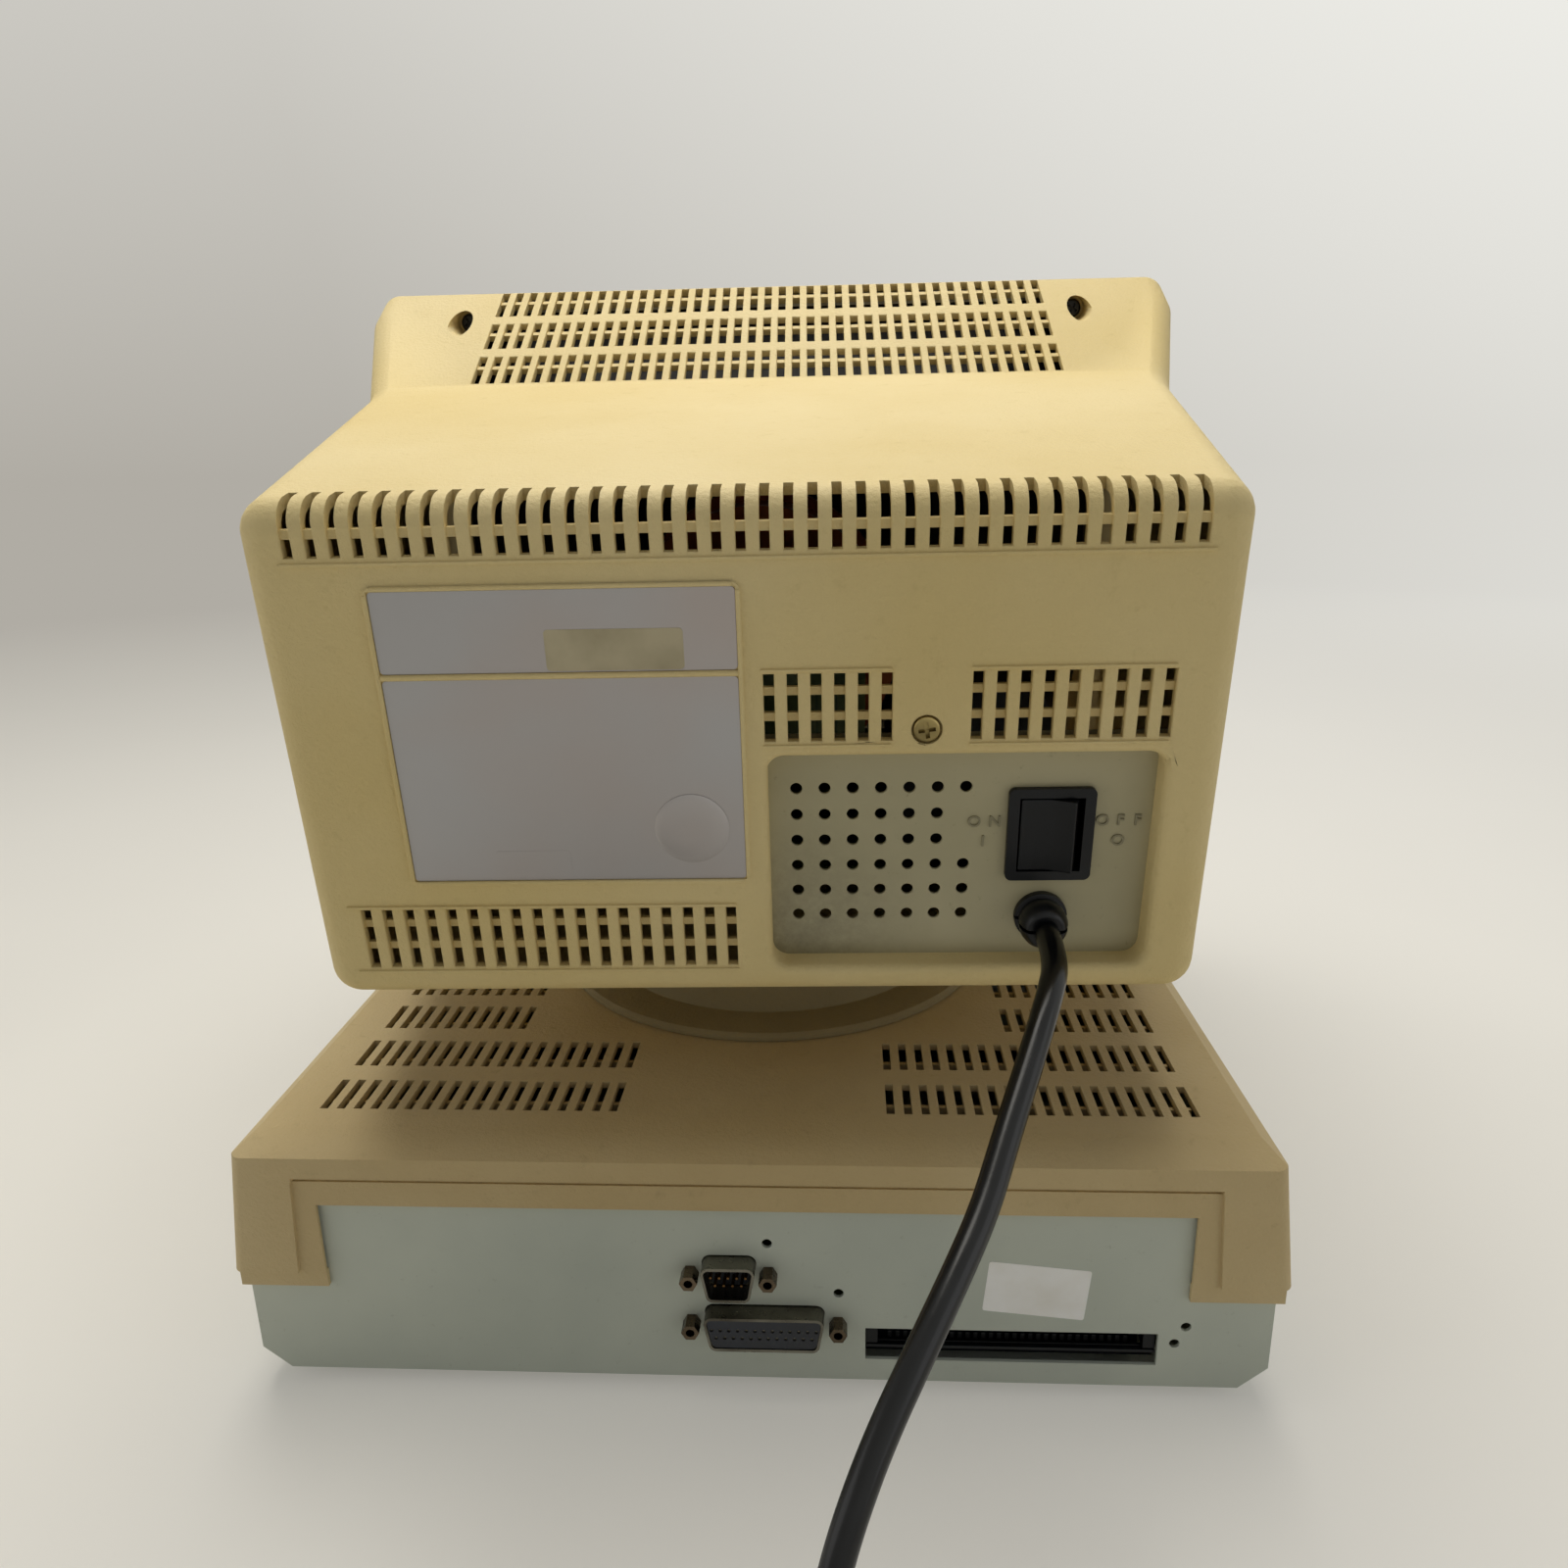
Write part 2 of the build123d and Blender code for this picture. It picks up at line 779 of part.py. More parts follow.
def make_drive_bracket():
    """Steel shelf that carries both drives above the board."""
    top = drive_centre_height - drive_height / 2
    floor = sheet
    half = drive_offset + drive_width / 2
    rear = cover_front_y + drive_length
    shelf = block(-half, half, cover_front_y + bracket_leg, rear, top - sheet, top)
    for side in (-1, 1):
        leg = block(side * half, side * (half - sheet), cover_front_y + bracket_leg, rear, floor, top)
        toe = block(side * half, side * (half - bracket_leg), cover_front_y + bracket_leg, rear,
                    floor, floor + sheet)
        shelf = shelf + leg + toe
    return one_solid(shelf)


def make_main_board():
    """Main board on short posts behind the drives' shelf, with its chips."""
    rear = pan_rear_y - option_connector_setback - option_connector_depth - sheet
    front = rear - board_depth / 2
    floor = sheet
    low = floor + board_lift
    half = pan_floor_half_width - board_margin
    board = block(-half, half, front, rear, low, low + board_thickness)
    for side in (-1, 1):
        for y in (front + board_margin, rear - board_margin):
            board = board + rod_z(side * (half - board_margin), y, floor, low, board_post_radius)
    middle = (front + rear) / 2
    for number in range(board_chip_count):
        x = (number - (board_chip_count - 1) / 2) * board_chip_pitch
        board = board + block(x - board_chip_width / 2, x + board_chip_width / 2,
                              middle - board_chip_length / 2, middle + board_chip_length / 2,
                              low, low + board_thickness + board_chip_height)
    return one_solid(board)


def make_foot(x, y):
    """Round rubber foot, from the desk up to the pan beside its pad."""
    return rod_z(x, y, -foot_height, pan_pad_step, foot_radius)


def make_power_lamp():
    """Power lamp in the front moulding."""
    lamp = rod_y(lamp_side, lamp_height, front_y - lamp_radius / 2, front_y + lamp_length, lamp_radius)
    return one_solid(fillet(lamp.faces().sort_by(Axis.Y)[0].edges(), lamp_radius / 2))


def make_keyboard_jack():
    """Round keyboard jack with its pin holes, behind the front moulding."""
    rear = front_y + keyboard_jack_depth
    jack = rod_y(-keyboard_jack_side, lamp_height, front_y, rear, keyboard_jack_radius)
    flange = rod_y(-keyboard_jack_side, lamp_height, front_y + front_wall, rear, keyboard_jack_flange)
    jack = jack + flange
    for number in range(keyboard_pin_count):
        angle = math.radians(quarter_turn * 2 * number / (keyboard_pin_count - 1))
        jack = jack - rod_y(-keyboard_jack_side + keyboard_pin_circle * math.cos(angle),
                            lamp_height + keyboard_pin_circle * math.sin(angle),
                            front_y - overrun, front_y + front_wall, keyboard_pin_radius)
    return one_solid(jack)


def make_speaker():
    """Small cone loudspeaker standing on the pan's floor, facing the front."""
    z = sheet + speaker_radius
    y = cover_front_y + drive_length + bracket_leg + speaker_depth
    rim = rod_y(speaker_side, z, y - speaker_rim, y, speaker_radius)
    basket = Pos(speaker_side, y - speaker_depth / 2 - speaker_rim, z) * Rot(-quarter_turn, 0, 0) * Cone(
        speaker_magnet_radius, speaker_radius - speaker_rim, speaker_depth)
    return one_solid(rim + basket)


# Stand

def revolved(points):
    """A turned piece from half of its section, drawn as radius and height."""
    return revolve(Plane.XZ * make_face(Polyline(*points, close=True)), Axis.Z)


def ball(radius):
    """A ball about the tilt pivot."""
    return Pos(0, 0, pivot_height) * Sphere(radius)


def cup_rim_height():
    """Height where the cup's wall meets its spherical seat."""
    seat = ball_radius + ball_fit
    return pivot_height - math.sqrt(seat ** 2 - cup_radius ** 2)


def make_turntable():
    """Plinth disc, cup with its spherical seat, and hollow spindle through the deck."""
    disc = rod_z(0, 0, stand_bottom, stand_bottom + plinth_thickness, plinth_radius)
    disc = chamfer(disc.faces().sort_by(Axis.Z)[-1].edges(), plinth_edge)
    cup = revolved((
        (0, stand_bottom),
        (cup_foot_radius, stand_bottom),
        (cup_foot_radius, stand_bottom + plinth_thickness),
        (cup_radius, cup_rim_height()),
        (0, cup_rim_height()),
    ))
    spindle_end = deck_underside - clip_fit - clip_thickness - spindle_reach
    spindle = rod_z(0, 0, spindle_end, stand_bottom, neck_radius)
    table = disc + cup + spindle - ball(ball_radius + ball_fit)
    bore = rod_z(0, 0, spindle_end - overrun, pivot_height, neck_bore)
    groove_top = deck_underside - clip_fit
    ring = rod_z(0, 0, groove_top - clip_thickness, groove_top, neck_radius + overrun)
    core = rod_z(0, 0, groove_top - clip_thickness, groove_top, neck_radius - clip_fit * 2)
    return one_solid(table - bore - (ring - core))


def make_swivel_clip():
    """Ring clip in the spindle's groove under the deck."""
    top = deck_underside - clip_fit
    ring = rod_z(0, 0, top - clip_thickness, top, clip_radius)
    hole = rod_z(0, 0, top - clip_thickness - overrun, top + overrun, neck_radius - clip_fit * 2)
    return one_solid(ring - hole)


def make_tilt_saddle():
    """Domed saddle on a hollow neck, which holds the ball foot down in its cup."""
    outer = ball_radius - ball_wall - ball_fit
    shell = ball(outer) - ball(outer - saddle_thickness)
    dome = shell & rod_z(0, 0, pivot_height - ball_radius, pivot_height, saddle_radius)
    neck = rod_z(0, 0, pivot_height - ball_radius - ball_fit, pivot_height - outer + saddle_thickness / 2,
                 neck_radius) - ball(outer - saddle_thickness)
    seat = ball(ball_radius + ball_fit)
    bore = rod_z(0, 0, deck_underside, pivot_height, neck_bore)
    return one_solid((dome + neck & seat) - bore)


# Monitor, in its own frame

def belly_at(depth):
    """Height of the housing's underside at a depth from the rear face."""
    return rear_bottom + (belly_height - rear_bottom) * depth / crease_depth


def housing_outlines(inset):
    """Half width, roof height and belly height of the housing by depth, drawn in by the inset."""
    slope = math.atan2(crease_height - rear_top, crease_depth)
    band = math.atan2(crown_height - crease_height, crown_depth - crease_depth)
    crease = crease_depth + inset * math.tan(band / 2)
    crown = crown_depth + inset * math.tan(band / 2)
    front = housing_depth + inset
    flank = (
        (inset, rear_half_width - inset),
        (flank_depth, flank_half_width - inset),
        (shoulder_depth, shoulder_half_width - inset),
        (front, shoulder_half_width - inset),
    )
    roof = (
        (inset, rear_top - inset / math.cos(slope)),
        (crease, crease_height - inset),
        (crown, crown_height - inset),
        (front, crown_height - inset),
    )
    belly = (
        (inset, rear_bottom + inset),
        (crease, belly_height + inset),
        (crown, chin_height + inset),
        (front, chin_height + inset),
    )
    return flank, roof, belly


def at_depth(outline, depth):
    """What an outline gives at a depth, on the straight run between its points."""
    value = outline[-1][1]
    for (near, first), (far, second) in zip(outline, outline[1:]):
        if near <= depth <= far:
            value = first + (second - first) * (depth - near) / (far - near)
    return value


def housing_form(inset):
    """Solid form of the housing: rounded sections at every bend of its outlines, joined by flat runs."""
    flank, roof, belly = housing_outlines(inset)
    depths = sorted({depth for outline in (flank, roof, belly) for depth, _ in outline})
    sections = []
    for depth in depths:
        top = at_depth(roof, depth)
        bottom = at_depth(belly, depth)
        outline = RectangleRounded(at_depth(flank, depth) * 2, top - bottom, long_edge_round - inset)
        sections.append(Plane.XZ.offset(depth) * (Pos(0, (top + bottom) / 2) * outline))
    form = loft(sections, ruled=True)
    rear_face = form.faces().sort_by(Axis.Y)[-1]
    return fillet(rear_face.outer_wire().edges(), rear_round - inset)


def comb_x(number):
    """Place of a comb slot across the housing."""
    return (number - (comb_count - 1) / 2) * comb_pitch


def comb_span():
    """Half the width of the comb, ribs included."""
    return comb_pitch * comb_count / 2


def edge_comb_cutters():
    """Slots that wrap from the rear face over its top edge."""
    cutters = []
    for number in range(comb_count):
        x = comb_x(number)
        cutters.append(block(x - comb_slot / 2, x + comb_slot / 2, -comb_wrap_depth, overrun, comb_sill,
                             rear_top + overrun))
    return cutters


def edge_comb_bar():
    """Cross bar set back behind the ribs of the wrap-around comb."""
    return block(-comb_span(), comb_span(), -bar_setback - bar_depth, -bar_setback, comb_bar_bottom,
                 comb_bar_top)


def band_place(along, depth):
    """A place on the sloping band, by its distance up the slope and its depth below the surface."""
    angle = math.atan2(crown_height - crease_height, crown_depth - crease_depth)
    start = Pos(0, -crease_depth, crease_height)
    return start * Rot(-math.degrees(angle), 0, 0) * Pos(0, -along, -depth)


def grille_cutters():
    """Slots of the grille, three rows up the sloping band."""
    cutters = []
    for row in range(grille_row_count):
        along = grille_row_first + row * grille_row_pitch
        for number in range(comb_count):
            slot = Box(grille_slot_width, grille_slot_length, housing_wall * 2 + overrun)
            cutters.append(band_place(along, 0) * Pos(comb_x(number), 0, 0) * slot)
    return cutters


def grille_bars():
    """Cross bars of the grille, one to a row, set back behind the ribs."""
    bars = []
    for row in range(grille_row_count):
        low_end = grille_row_first + row * grille_row_pitch - grille_slot_length / 2
        along = low_end + grille_slot_length * grille_bar_share
        depth = bar_setback + bar_depth / 2
        bars.append(band_place(along, depth) * Box(comb_span() * 2, grille_bar_width, bar_depth))
    return bars


def face_group(start, count, bottom, top):
    """Cutters for a group of upright slots in the rear face, running to the right of the start."""
    direction = 1 if start > 0 else -1
    cutters = []
    for number in range(count):
        x = start + direction * (number * face_pitch + face_slot / 2)
        cutters.append(block(x - face_slot / 2, x + face_slot / 2, -housing_wall - overrun, overrun, bottom, top))
    return cutters


def face_group_bars(start, count, bottom, top):
    """Cross bars behind a group of slots."""
    direction = 1 if start > 0 else -1
    end = start + direction * count * face_pitch
    bars = []
    for share in face_bar_shares:
        z = top + (bottom - top) * share
        bars.append(block(start, end, -bar_setback - bar_depth, -bar_setback, z - face_bar / 2, z + face_bar / 2))
    return bars


def label_frame():
    """Raised bead round the label area, with a divider."""
    middle_x = (frame_left + frame_right) / 2
    middle_z = (frame_top + frame_bottom) / 2
    width = frame_left - frame_right
    height = frame_top - frame_bottom
    outer = rounded_bar_y(middle_x, middle_z, width, height, frame_bead, -housing_wall / 2, frame_proud)
    upper = block(frame_right + frame_bead, frame_left - frame_bead, -housing_wall, frame_proud + overrun,
                  frame_divider + frame_bead / 2, frame_top - frame_bead)
    lower = block(frame_right + frame_bead, frame_left - frame_bead, -housing_wall, frame_proud + overrun,
                  frame_bottom + frame_bead, frame_divider - frame_bead / 2)
    return outer - upper - lower


def power_opening(grow, y0, y1):
    """The power panel's opening carried along Y."""
    middle_x = (power_left + power_right) / 2
    middle_z = (power_top + power_bottom) / 2
    width = abs(power_right - power_left) + grow * 2
    height = power_top - power_bottom + grow * 2
    return rounded_bar_y(middle_x, middle_z, width, height, power_corner + grow, y0, y1)


def screw_well(side, radius, reach):
    """A well bored forward from the sloping band, level with the desk."""
    return rod_y(side * screw_well_x, screw_well_height, -screw_well_depth - reach,
                 -screw_well_depth + reach, radius)


def make_rear_cover():
    """Rear housing, the most skilful piece: a thin tapered shell whose vents wrap over its rear edge,
    run down its face and up its sloping band, with cross bars moulded in behind the ribs."""
    outer = housing_form(0)
    shell = outer - housing_form(housing_wall)
    sleeve = power_opening(power_sleeve, -power_recess, -housing_wall / 2)
    boss = rod_y(face_screw_x, face_screw_z, -housing_wall - face_screw_depth, -housing_wall / 2,
                 face_screw_boss)
    wells = [screw_well(side, screw_well_radius + screw_well_wall, screw_well_reach) & outer
             for side in (-1, 1)]
    shell = shell + sleeve + boss + wells + label_frame()
    groups = (
        (face_left_start, face_left_count, face_bottom, face_top),
        (face_right_start, face_right_count, face_bottom, face_top),
        (face_low_start, face_low_count, face_low_bottom, face_low_top),
    )
    cutters = edge_comb_cutters() + grille_cutters()
    bars = [edge_comb_bar()] + grille_bars()
    for start, count, bottom, top in groups:
        cutters += face_group(start, count, bottom, top)
        bars += face_group_bars(start, count, bottom, top)
    cutters.append(power_opening(0, -power_recess - overrun, overrun))
    cutters.append(rod_y(face_screw_x, face_screw_z, -face_screw_depth, overrun, face_screw_radius))
    for side in (-1, 1):
        cutters.append(screw_well(side, screw_well_radius, screw_well_reach - screw_well_wall))
    return one_solid(shell - cutters + bars)


def make_power_panel():
    """Metal panel at the bottom of its recess, with its grid of holes."""
    rear = -power_recess
    margin = power_plate_margin
    plate = block(power_right - margin, power_left + margin, rear - sheet, rear,
                  power_bottom - margin, power_top + margin)
    cuts = [
        block(switch_x - switch_body_width / 2, switch_x + switch_body_width / 2, rear - overrun, rear + overrun,
              switch_z - switch_body_height / 2, switch_z + switch_body_height / 2),
        rod_y(bushing_x, bushing_z, rear - overrun, rear + overrun, bushing_barrel_radius + bushing_fit),
    ]
    for row in range(hole_rows):
        columns = hole_columns - 1 if row in hole_short_rows else hole_columns
        for column in range(columns):
            cuts.append(polygon_bar_y(hole_first_x - column * hole_pitch_x, hole_first_z - row * hole_pitch_z,
                                      hole_radius, hole_sides, rear - overrun, rear + overrun))
    return one_solid(plate - cuts)


def make_switch_body():
    """Rocker switch body: bezel on the panel, body through it and the rocker's well."""
    rear = -power_recess
    bezel = rounded_bar_y(switch_x, switch_z, switch_bezel_width, switch_bezel_height, switch_bezel_proud,
                          rear, rear + switch_bezel_proud)
    body = block(switch_x - switch_body_width / 2, switch_x + switch_body_width / 2, rear - switch_body_depth,
                 rear, switch_z - switch_body_height / 2, switch_z + switch_body_height / 2)
    well = block(switch_x - switch_well_width / 2, switch_x + switch_well_width / 2,
                 rear - switch_well_depth, rear + switch_bezel_proud + overrun,
                 switch_z - switch_well_height / 2, switch_z + switch_well_height / 2)
    pin = Pos(switch_x, rocker_axis_y(), switch_z) * Cylinder(rocker_pin_radius,
                                                             (switch_well_height + switch_body_height) / 2)
    return one_solid(bezel + body - well + pin)


def rocker_axis_y():
    """Depth of the rocker's upright pin."""
    return -power_recess - rocker_pivot_depth


def make_rocker():
    """Rocker with its two faces meeting over the pin, thrown over to one side."""
    reach = switch_well_width / 2 - rocker_clearance
    tall = switch_well_height / 2 - rocker_clearance
    swing = math.radians(rocker_swing)
    crown = rocker_pivot_depth + switch_bezel_proud
    half = (reach - crown * math.sin(swing)) / (math.cos(swing) + math.tan(swing) * math.sin(swing))
    rise = half * math.tan(swing)
    face = make_face(Polyline((-half, crown + rise), (0, crown), (half, crown + rise),
                              (reach, 0), (rocker_skirt, -rocker_skirt),
                              (-rocker_skirt, -rocker_skirt), (-reach, 0), close=True))
    rocker = along_z(face, -tall, tall)
    rocker = rocker - Cylinder(rocker_pin_radius + rocker_pin_fit, tall * 2 + overrun)
    rocker = Rot(0, 0, -rocker_swing) * rocker
    return one_solid(Pos(switch_x, rocker_axis_y(), switch_z) * rocker)


def make_cord_bushing():
    """Split bushing in the power panel that grips the cord."""
    rear = -power_recess
    flange = rod_y(bushing_x, bushing_z, rear, rear + bushing_flange, bushing_flange_radius)
    barrel = rod_y(bushing_x, bushing_z, rear - bushing_tail, rear, bushing_barrel_radius)
    nose = Pos(bushing_x, rear + bushing_flange + bushing_nose / 2, bushing_z) * Rot(-quarter_turn, 0, 0) * Cone(
        bushing_barrel_radius, bushing_tip_radius, bushing_nose)
    split = block(bushing_x - bushing_flange_radius, bushing_x + bushing_flange_radius,
                  rear + bushing_flange / 2, rear + bushing_flange + overrun,
                  bushing_z - bushing_groove / 2, bushing_z + bushing_groove / 2)
    core = rod_y(bushing_x, bushing_z, rear - bushing_tail, rear + bushing_flange + bushing_nose,
                 bushing_tip_radius)
    return one_solid(flange + barrel + nose - (split - core))


def bushing_end():
    """Centre of the bushing's outer end and the way it points, in the whole part's frame."""
    end = monitor_place * Pos(bushing_x, -power_recess + bushing_flange + bushing_nose, bushing_z)
    ahead = end * Pos(0, cord_diameter, 0)
    return Vector(*end.position), (Vector(*ahead.position) - Vector(*end.position)).normalized()


def bezel_form(inset, front, rear):
    """A bar of the bezel's rounded outline, drawn in by the inset."""
    width = (bezel_half_width - inset) * 2
    height = crown_height - chin_height - inset * 2
    return rounded_bar_y(0, (crown_height + chin_height) / 2, width, height, long_edge_round - inset, front, rear)


def make_bezel():
    """Front bezel with its screen opening, and a lap that enters the housing."""
    outer = bezel_form(0, bezel_front_y, housing_front_y)
    outer = fillet(outer.faces().sort_by(Axis.Y)[0].edges(), bezel_face_round)
    hollow = bezel_form(bezel_wall, bezel_front_y + bezel_wall, housing_front_y + overrun)
    lap_inset = housing_wall + bezel_lap_fit
    lap = bezel_form(lap_inset, bezel_front_y + bezel_wall * 2, housing_front_y + bezel_lap)
    lap = lap - bezel_form(lap_inset + bezel_wall, bezel_front_y, housing_front_y + bezel_lap + overrun)
    bezel = outer - hollow + lap
    front_wire = rounded_rectangle_at(bezel_front_y - overrun, screen_width + screen_funnel,
                                      screen_height + screen_funnel, screen_corner)
    rear_wire = rounded_rectangle_at(bezel_front_y + bezel_wall + overrun, screen_width, screen_height,
                                     screen_corner)
    opening = loft([front_wire, rear_wire], ruled=True)
    bezel = bezel - opening
    for x in knob_places():
        bezel = bezel - rod_y(x, knob_height(), bezel_front_y - overrun, bezel_front_y + bezel_wall + overrun,
                              knob_shaft_radius + knob_shaft_fit)
    return one_solid(bezel)


def rounded_rectangle_at(y, width, height, corner):
    """A rounded rectangle about the screen's centre, on a plane across the monitor."""
    return Plane.XZ.offset(-y) * (Pos(0, screen_z) * RectangleRounded(width, height, corner))


def knob_height():
    """Height of the two control knobs below the screen."""
    return chin_height + knob_rise


def knob_places():
    """Places across the bezel of the brightness and contrast knobs."""
    first = knob_inset - shoulder_half_width
    return first, first + knob_pitch


def make_knob(x):
    """Fluted control knob with its shaft."""
    face = bezel_front_y - knob_gap - knob_proud
    knob = rod_y(x, knob_height(), face, bezel_front_y - knob_gap, knob_radius)
    knob = chamfer(knob.faces().sort_by(Axis.Y)[0].edges(), knob_flute_radius / 2)
    for number in range(knob_flute_count):
        angle = math.radians(quarter_turn * 4 * number / knob_flute_count)
        knob = knob - polygon_bar_y(x + knob_radius * math.cos(angle), knob_height() + knob_radius * math.sin(angle),
                                    knob_flute_radius, knob_flute_sides, face - overrun, bezel_front_y)
    shaft = rod_y(x, knob_height(), bezel_front_y - knob_gap, bezel_front_y + knob_shaft_length,
                  knob_shaft_radius)
    return one_solid(knob + shaft)


def tube_section(y, inset):
    """Outline of the tube's front panel on a plane across the monitor, drawn in by the inset."""
    return rounded_rectangle_at(y, tube_width - inset * 2, tube_height - inset * 2, tube_corner - inset)


def throat_section(inset):
    """Outline of the funnel's throat, almost round."""
    width = tube_throat_width - inset * 2
    return rounded_rectangle_at(-tube_throat_depth, width, width, width / 2 - tube_glass / 2)


def make_tube_panel():
    """Front panel of the picture tube: crowned face with a skirt behind it."""
    face_y = bezel_front_y + tube_face_setback
    panel = extrude(tube_section(face_y, 0), amount=-tube_skirt)
    crown = Pos(0, face_y + tube_face_radius, screen_z)
    hollow = extrude(tube_section(face_y, tube_glass), amount=-tube_skirt - overrun)
    hollow = hollow & (crown * Sphere(tube_face_radius - tube_glass))
    return one_solid(panel & (crown * Sphere(tube_face_radius)) - hollow)


def make_tube_funnel():
    """Glass funnel of the picture tube with its neck, hollow right through."""
    skirt_y = bezel_front_y + tube_face_setback + tube_skirt
    outer = loft([tube_section(skirt_y, 0), throat_section(0)], ruled=True)
    inner = loft([tube_section(skirt_y, tube_glass), throat_section(tube_glass)], ruled=True)
    neck = rod_y(0, screen_z, -tube_throat_depth - tube_glass, -tube_neck_end, tube_neck_radius)
    bore = rod_y(0, screen_z, -tube_throat_depth - tube_glass * 2, -tube_neck_end + overrun,
                 tube_neck_radius - tube_neck_wall)
    back = extrude(throat_section(0), amount=-tube_glass / 2)
    return one_solid(outer - inner + back + neck - bore)


def make_tension_band():
    """Steel band round the tube's face panel."""
    front = bezel_front_y + tube_face_setback + tube_skirt - band_width
    grow = band_thickness * 2
    outer = extrude(rounded_rectangle_at(front, tube_width + grow, tube_height + grow,
                                         tube_corner + band_thickness), amount=-band_width)
    inner = extrude(rounded_rectangle_at(front - overrun, tube_width, tube_height, tube_corner),
                    amount=-band_width - overrun * 2)
    return one_solid(outer - inner)


def make_yoke():
    """Deflection yoke round the tube's neck."""
    front = -tube_throat_depth + tube_glass / 2 + yoke_fit
    yoke = rod_y(0, screen_z, front, front + yoke_length, yoke_radius - yoke_rim)
    for y in (front, front + yoke_length - yoke_rim):
        yoke = yoke + rod_y(0, screen_z, y, y + yoke_rim, yoke_radius)
    return one_solid(yoke - rod_y(0, screen_z, front - overrun, front + yoke_length + overrun,
                                  tube_neck_radius + yoke_fit))


def make_neck_board():
    """Small board on the tube's neck, with its socket."""
    half = neck_board_width / 2
    tall = neck_board_height / 2
    rear = -neck_board_setback
    board = block(-half, half, -tube_neck_end, -tube_neck_end + board_thickness, screen_z - tall,
                  screen_z + tall)
    socket = rod_y(0, screen_z, -tube_neck_end, rear, tube_neck_radius)
    return one_solid(board + socket)


def make_monitor_board():
    """Flat chassis board low in the housing, on four posts."""
    low = chassis_board_height
    board = block(-chassis_board_half_width, chassis_board_half_width, -chassis_board_front,
                  -chassis_board_rear, low, low + board_thickness)
    for side in (-1, 1):
        for depth in (chassis_board_rear + board_margin, crease_depth - board_margin):
            foot = belly_at(depth - board_post_radius * 2) + housing_wall
            board = board + rod_z(side * (chassis_board_half_width - board_margin), -depth, foot, low,
                                  board_post_radius)
    return one_solid(board)


def make_transformer():
    """High-voltage transformer on the chassis board."""
    low = chassis_board_height + board_thickness
    half = transformer_width / 2
    body = block(transformer_x - half, transformer_x + half, -transformer_depth - half,
                 -transformer_depth + half, low, low + transformer_height)
    cup = rod_z(transformer_x, -transformer_depth, low + transformer_height,
                low + transformer_height + transformer_cup_height, transformer_cup_radius)
    return one_solid(body + cup)


def make_power_supply():
    """Power supply block on the chassis board."""
    low = chassis_board_height + board_thickness
    half = supply_width / 2
    reach = supply_length / 2
    return one_solid(block(supply_x - half, supply_x + half, -supply_depth - reach, -supply_depth + reach,
                           low, low + supply_height))


def make_ball_foot():
    """Hollow ball foot under the housing, slotted for the saddle's neck."""
    slope = math.degrees(math.atan2(rear_bottom - belly_height, crease_depth))
    under = monitor_place * Pos(0, -pivot_depth, belly_at(pivot_depth)) * Rot(slope, 0, 0)
    lower_half = under * Pos(0, 0, -ball_radius) * Box(ball_radius * 3, ball_radius * 3, ball_radius * 2)
    shell = (ball(ball_radius) - ball(ball_radius - ball_wall)) & lower_half
    shell = shell - monitor_place * housing_form(0)
    middle = Pos(0, 0, pivot_height) * Rot(0, 0, swivel_rest) * Rot(tilt_rest - tilt_middle, 0, 0)
    swing = math.radians((tilt_back_travel + tilt_front_travel) / 2)
    reach = neck_radius + slot_end_fit + ball_radius * math.tan(swing)
    slot = middle * Pos(0, 0, -ball_radius) * Box((neck_radius + slot_fit) * 2, reach * 2, ball_radius)
    return one_solid(shell - slot)


# Cord

def bend_radii(points):
    """Radius of each corner, as large as its two runs allow."""
    radii = []
    for before, corner, after in zip(points, points[1:], points[2:]):
        arriving = corner - before
        leaving = after - corner
        turn = math.radians(arriving.get_angle(leaving))
        radii.append(bend_share * min(arriving.length, leaving.length) / math.tan(turn / 2))
    return radii


def swept(path):
    """A round cord along a path."""
    section = Plane(origin=path @ 0, z_dir=path % 0) * Circle(cord_diameter / 2)
    return sweep(section, path=path)


def make_power_cord():
    """The stretch of the cord from the bushing to the coil."""
    start, heading = bushing_end()
    points = [start, start + heading * cord_lead] + [Vector(*point) for point in route]
    radii = bend_radii(points)
    path = FilletPolyline(*points, radius=radii)
    cord = swept(path)
    expected = math.pi * cord_diameter ** 2 / 4 * path.length
    print("cord bends", [round(radius, 1) for radius in radii])
    print("cord stretch", round(path.length, 1), "volume share", round(cord.volume / expected, 5))
    return one_solid(cord), path.length


def coil_frame():
    """Start of the coil, the way it starts, and its centre. The cord turns to the right."""
    start = Vector(*route[-1])
    heading = (start - Vector(*route[-2])).normalized()
    right = Vector(heading.Y, -heading.X, 0)
    first = start + heading * cord_diameter
    return start, heading, right, first


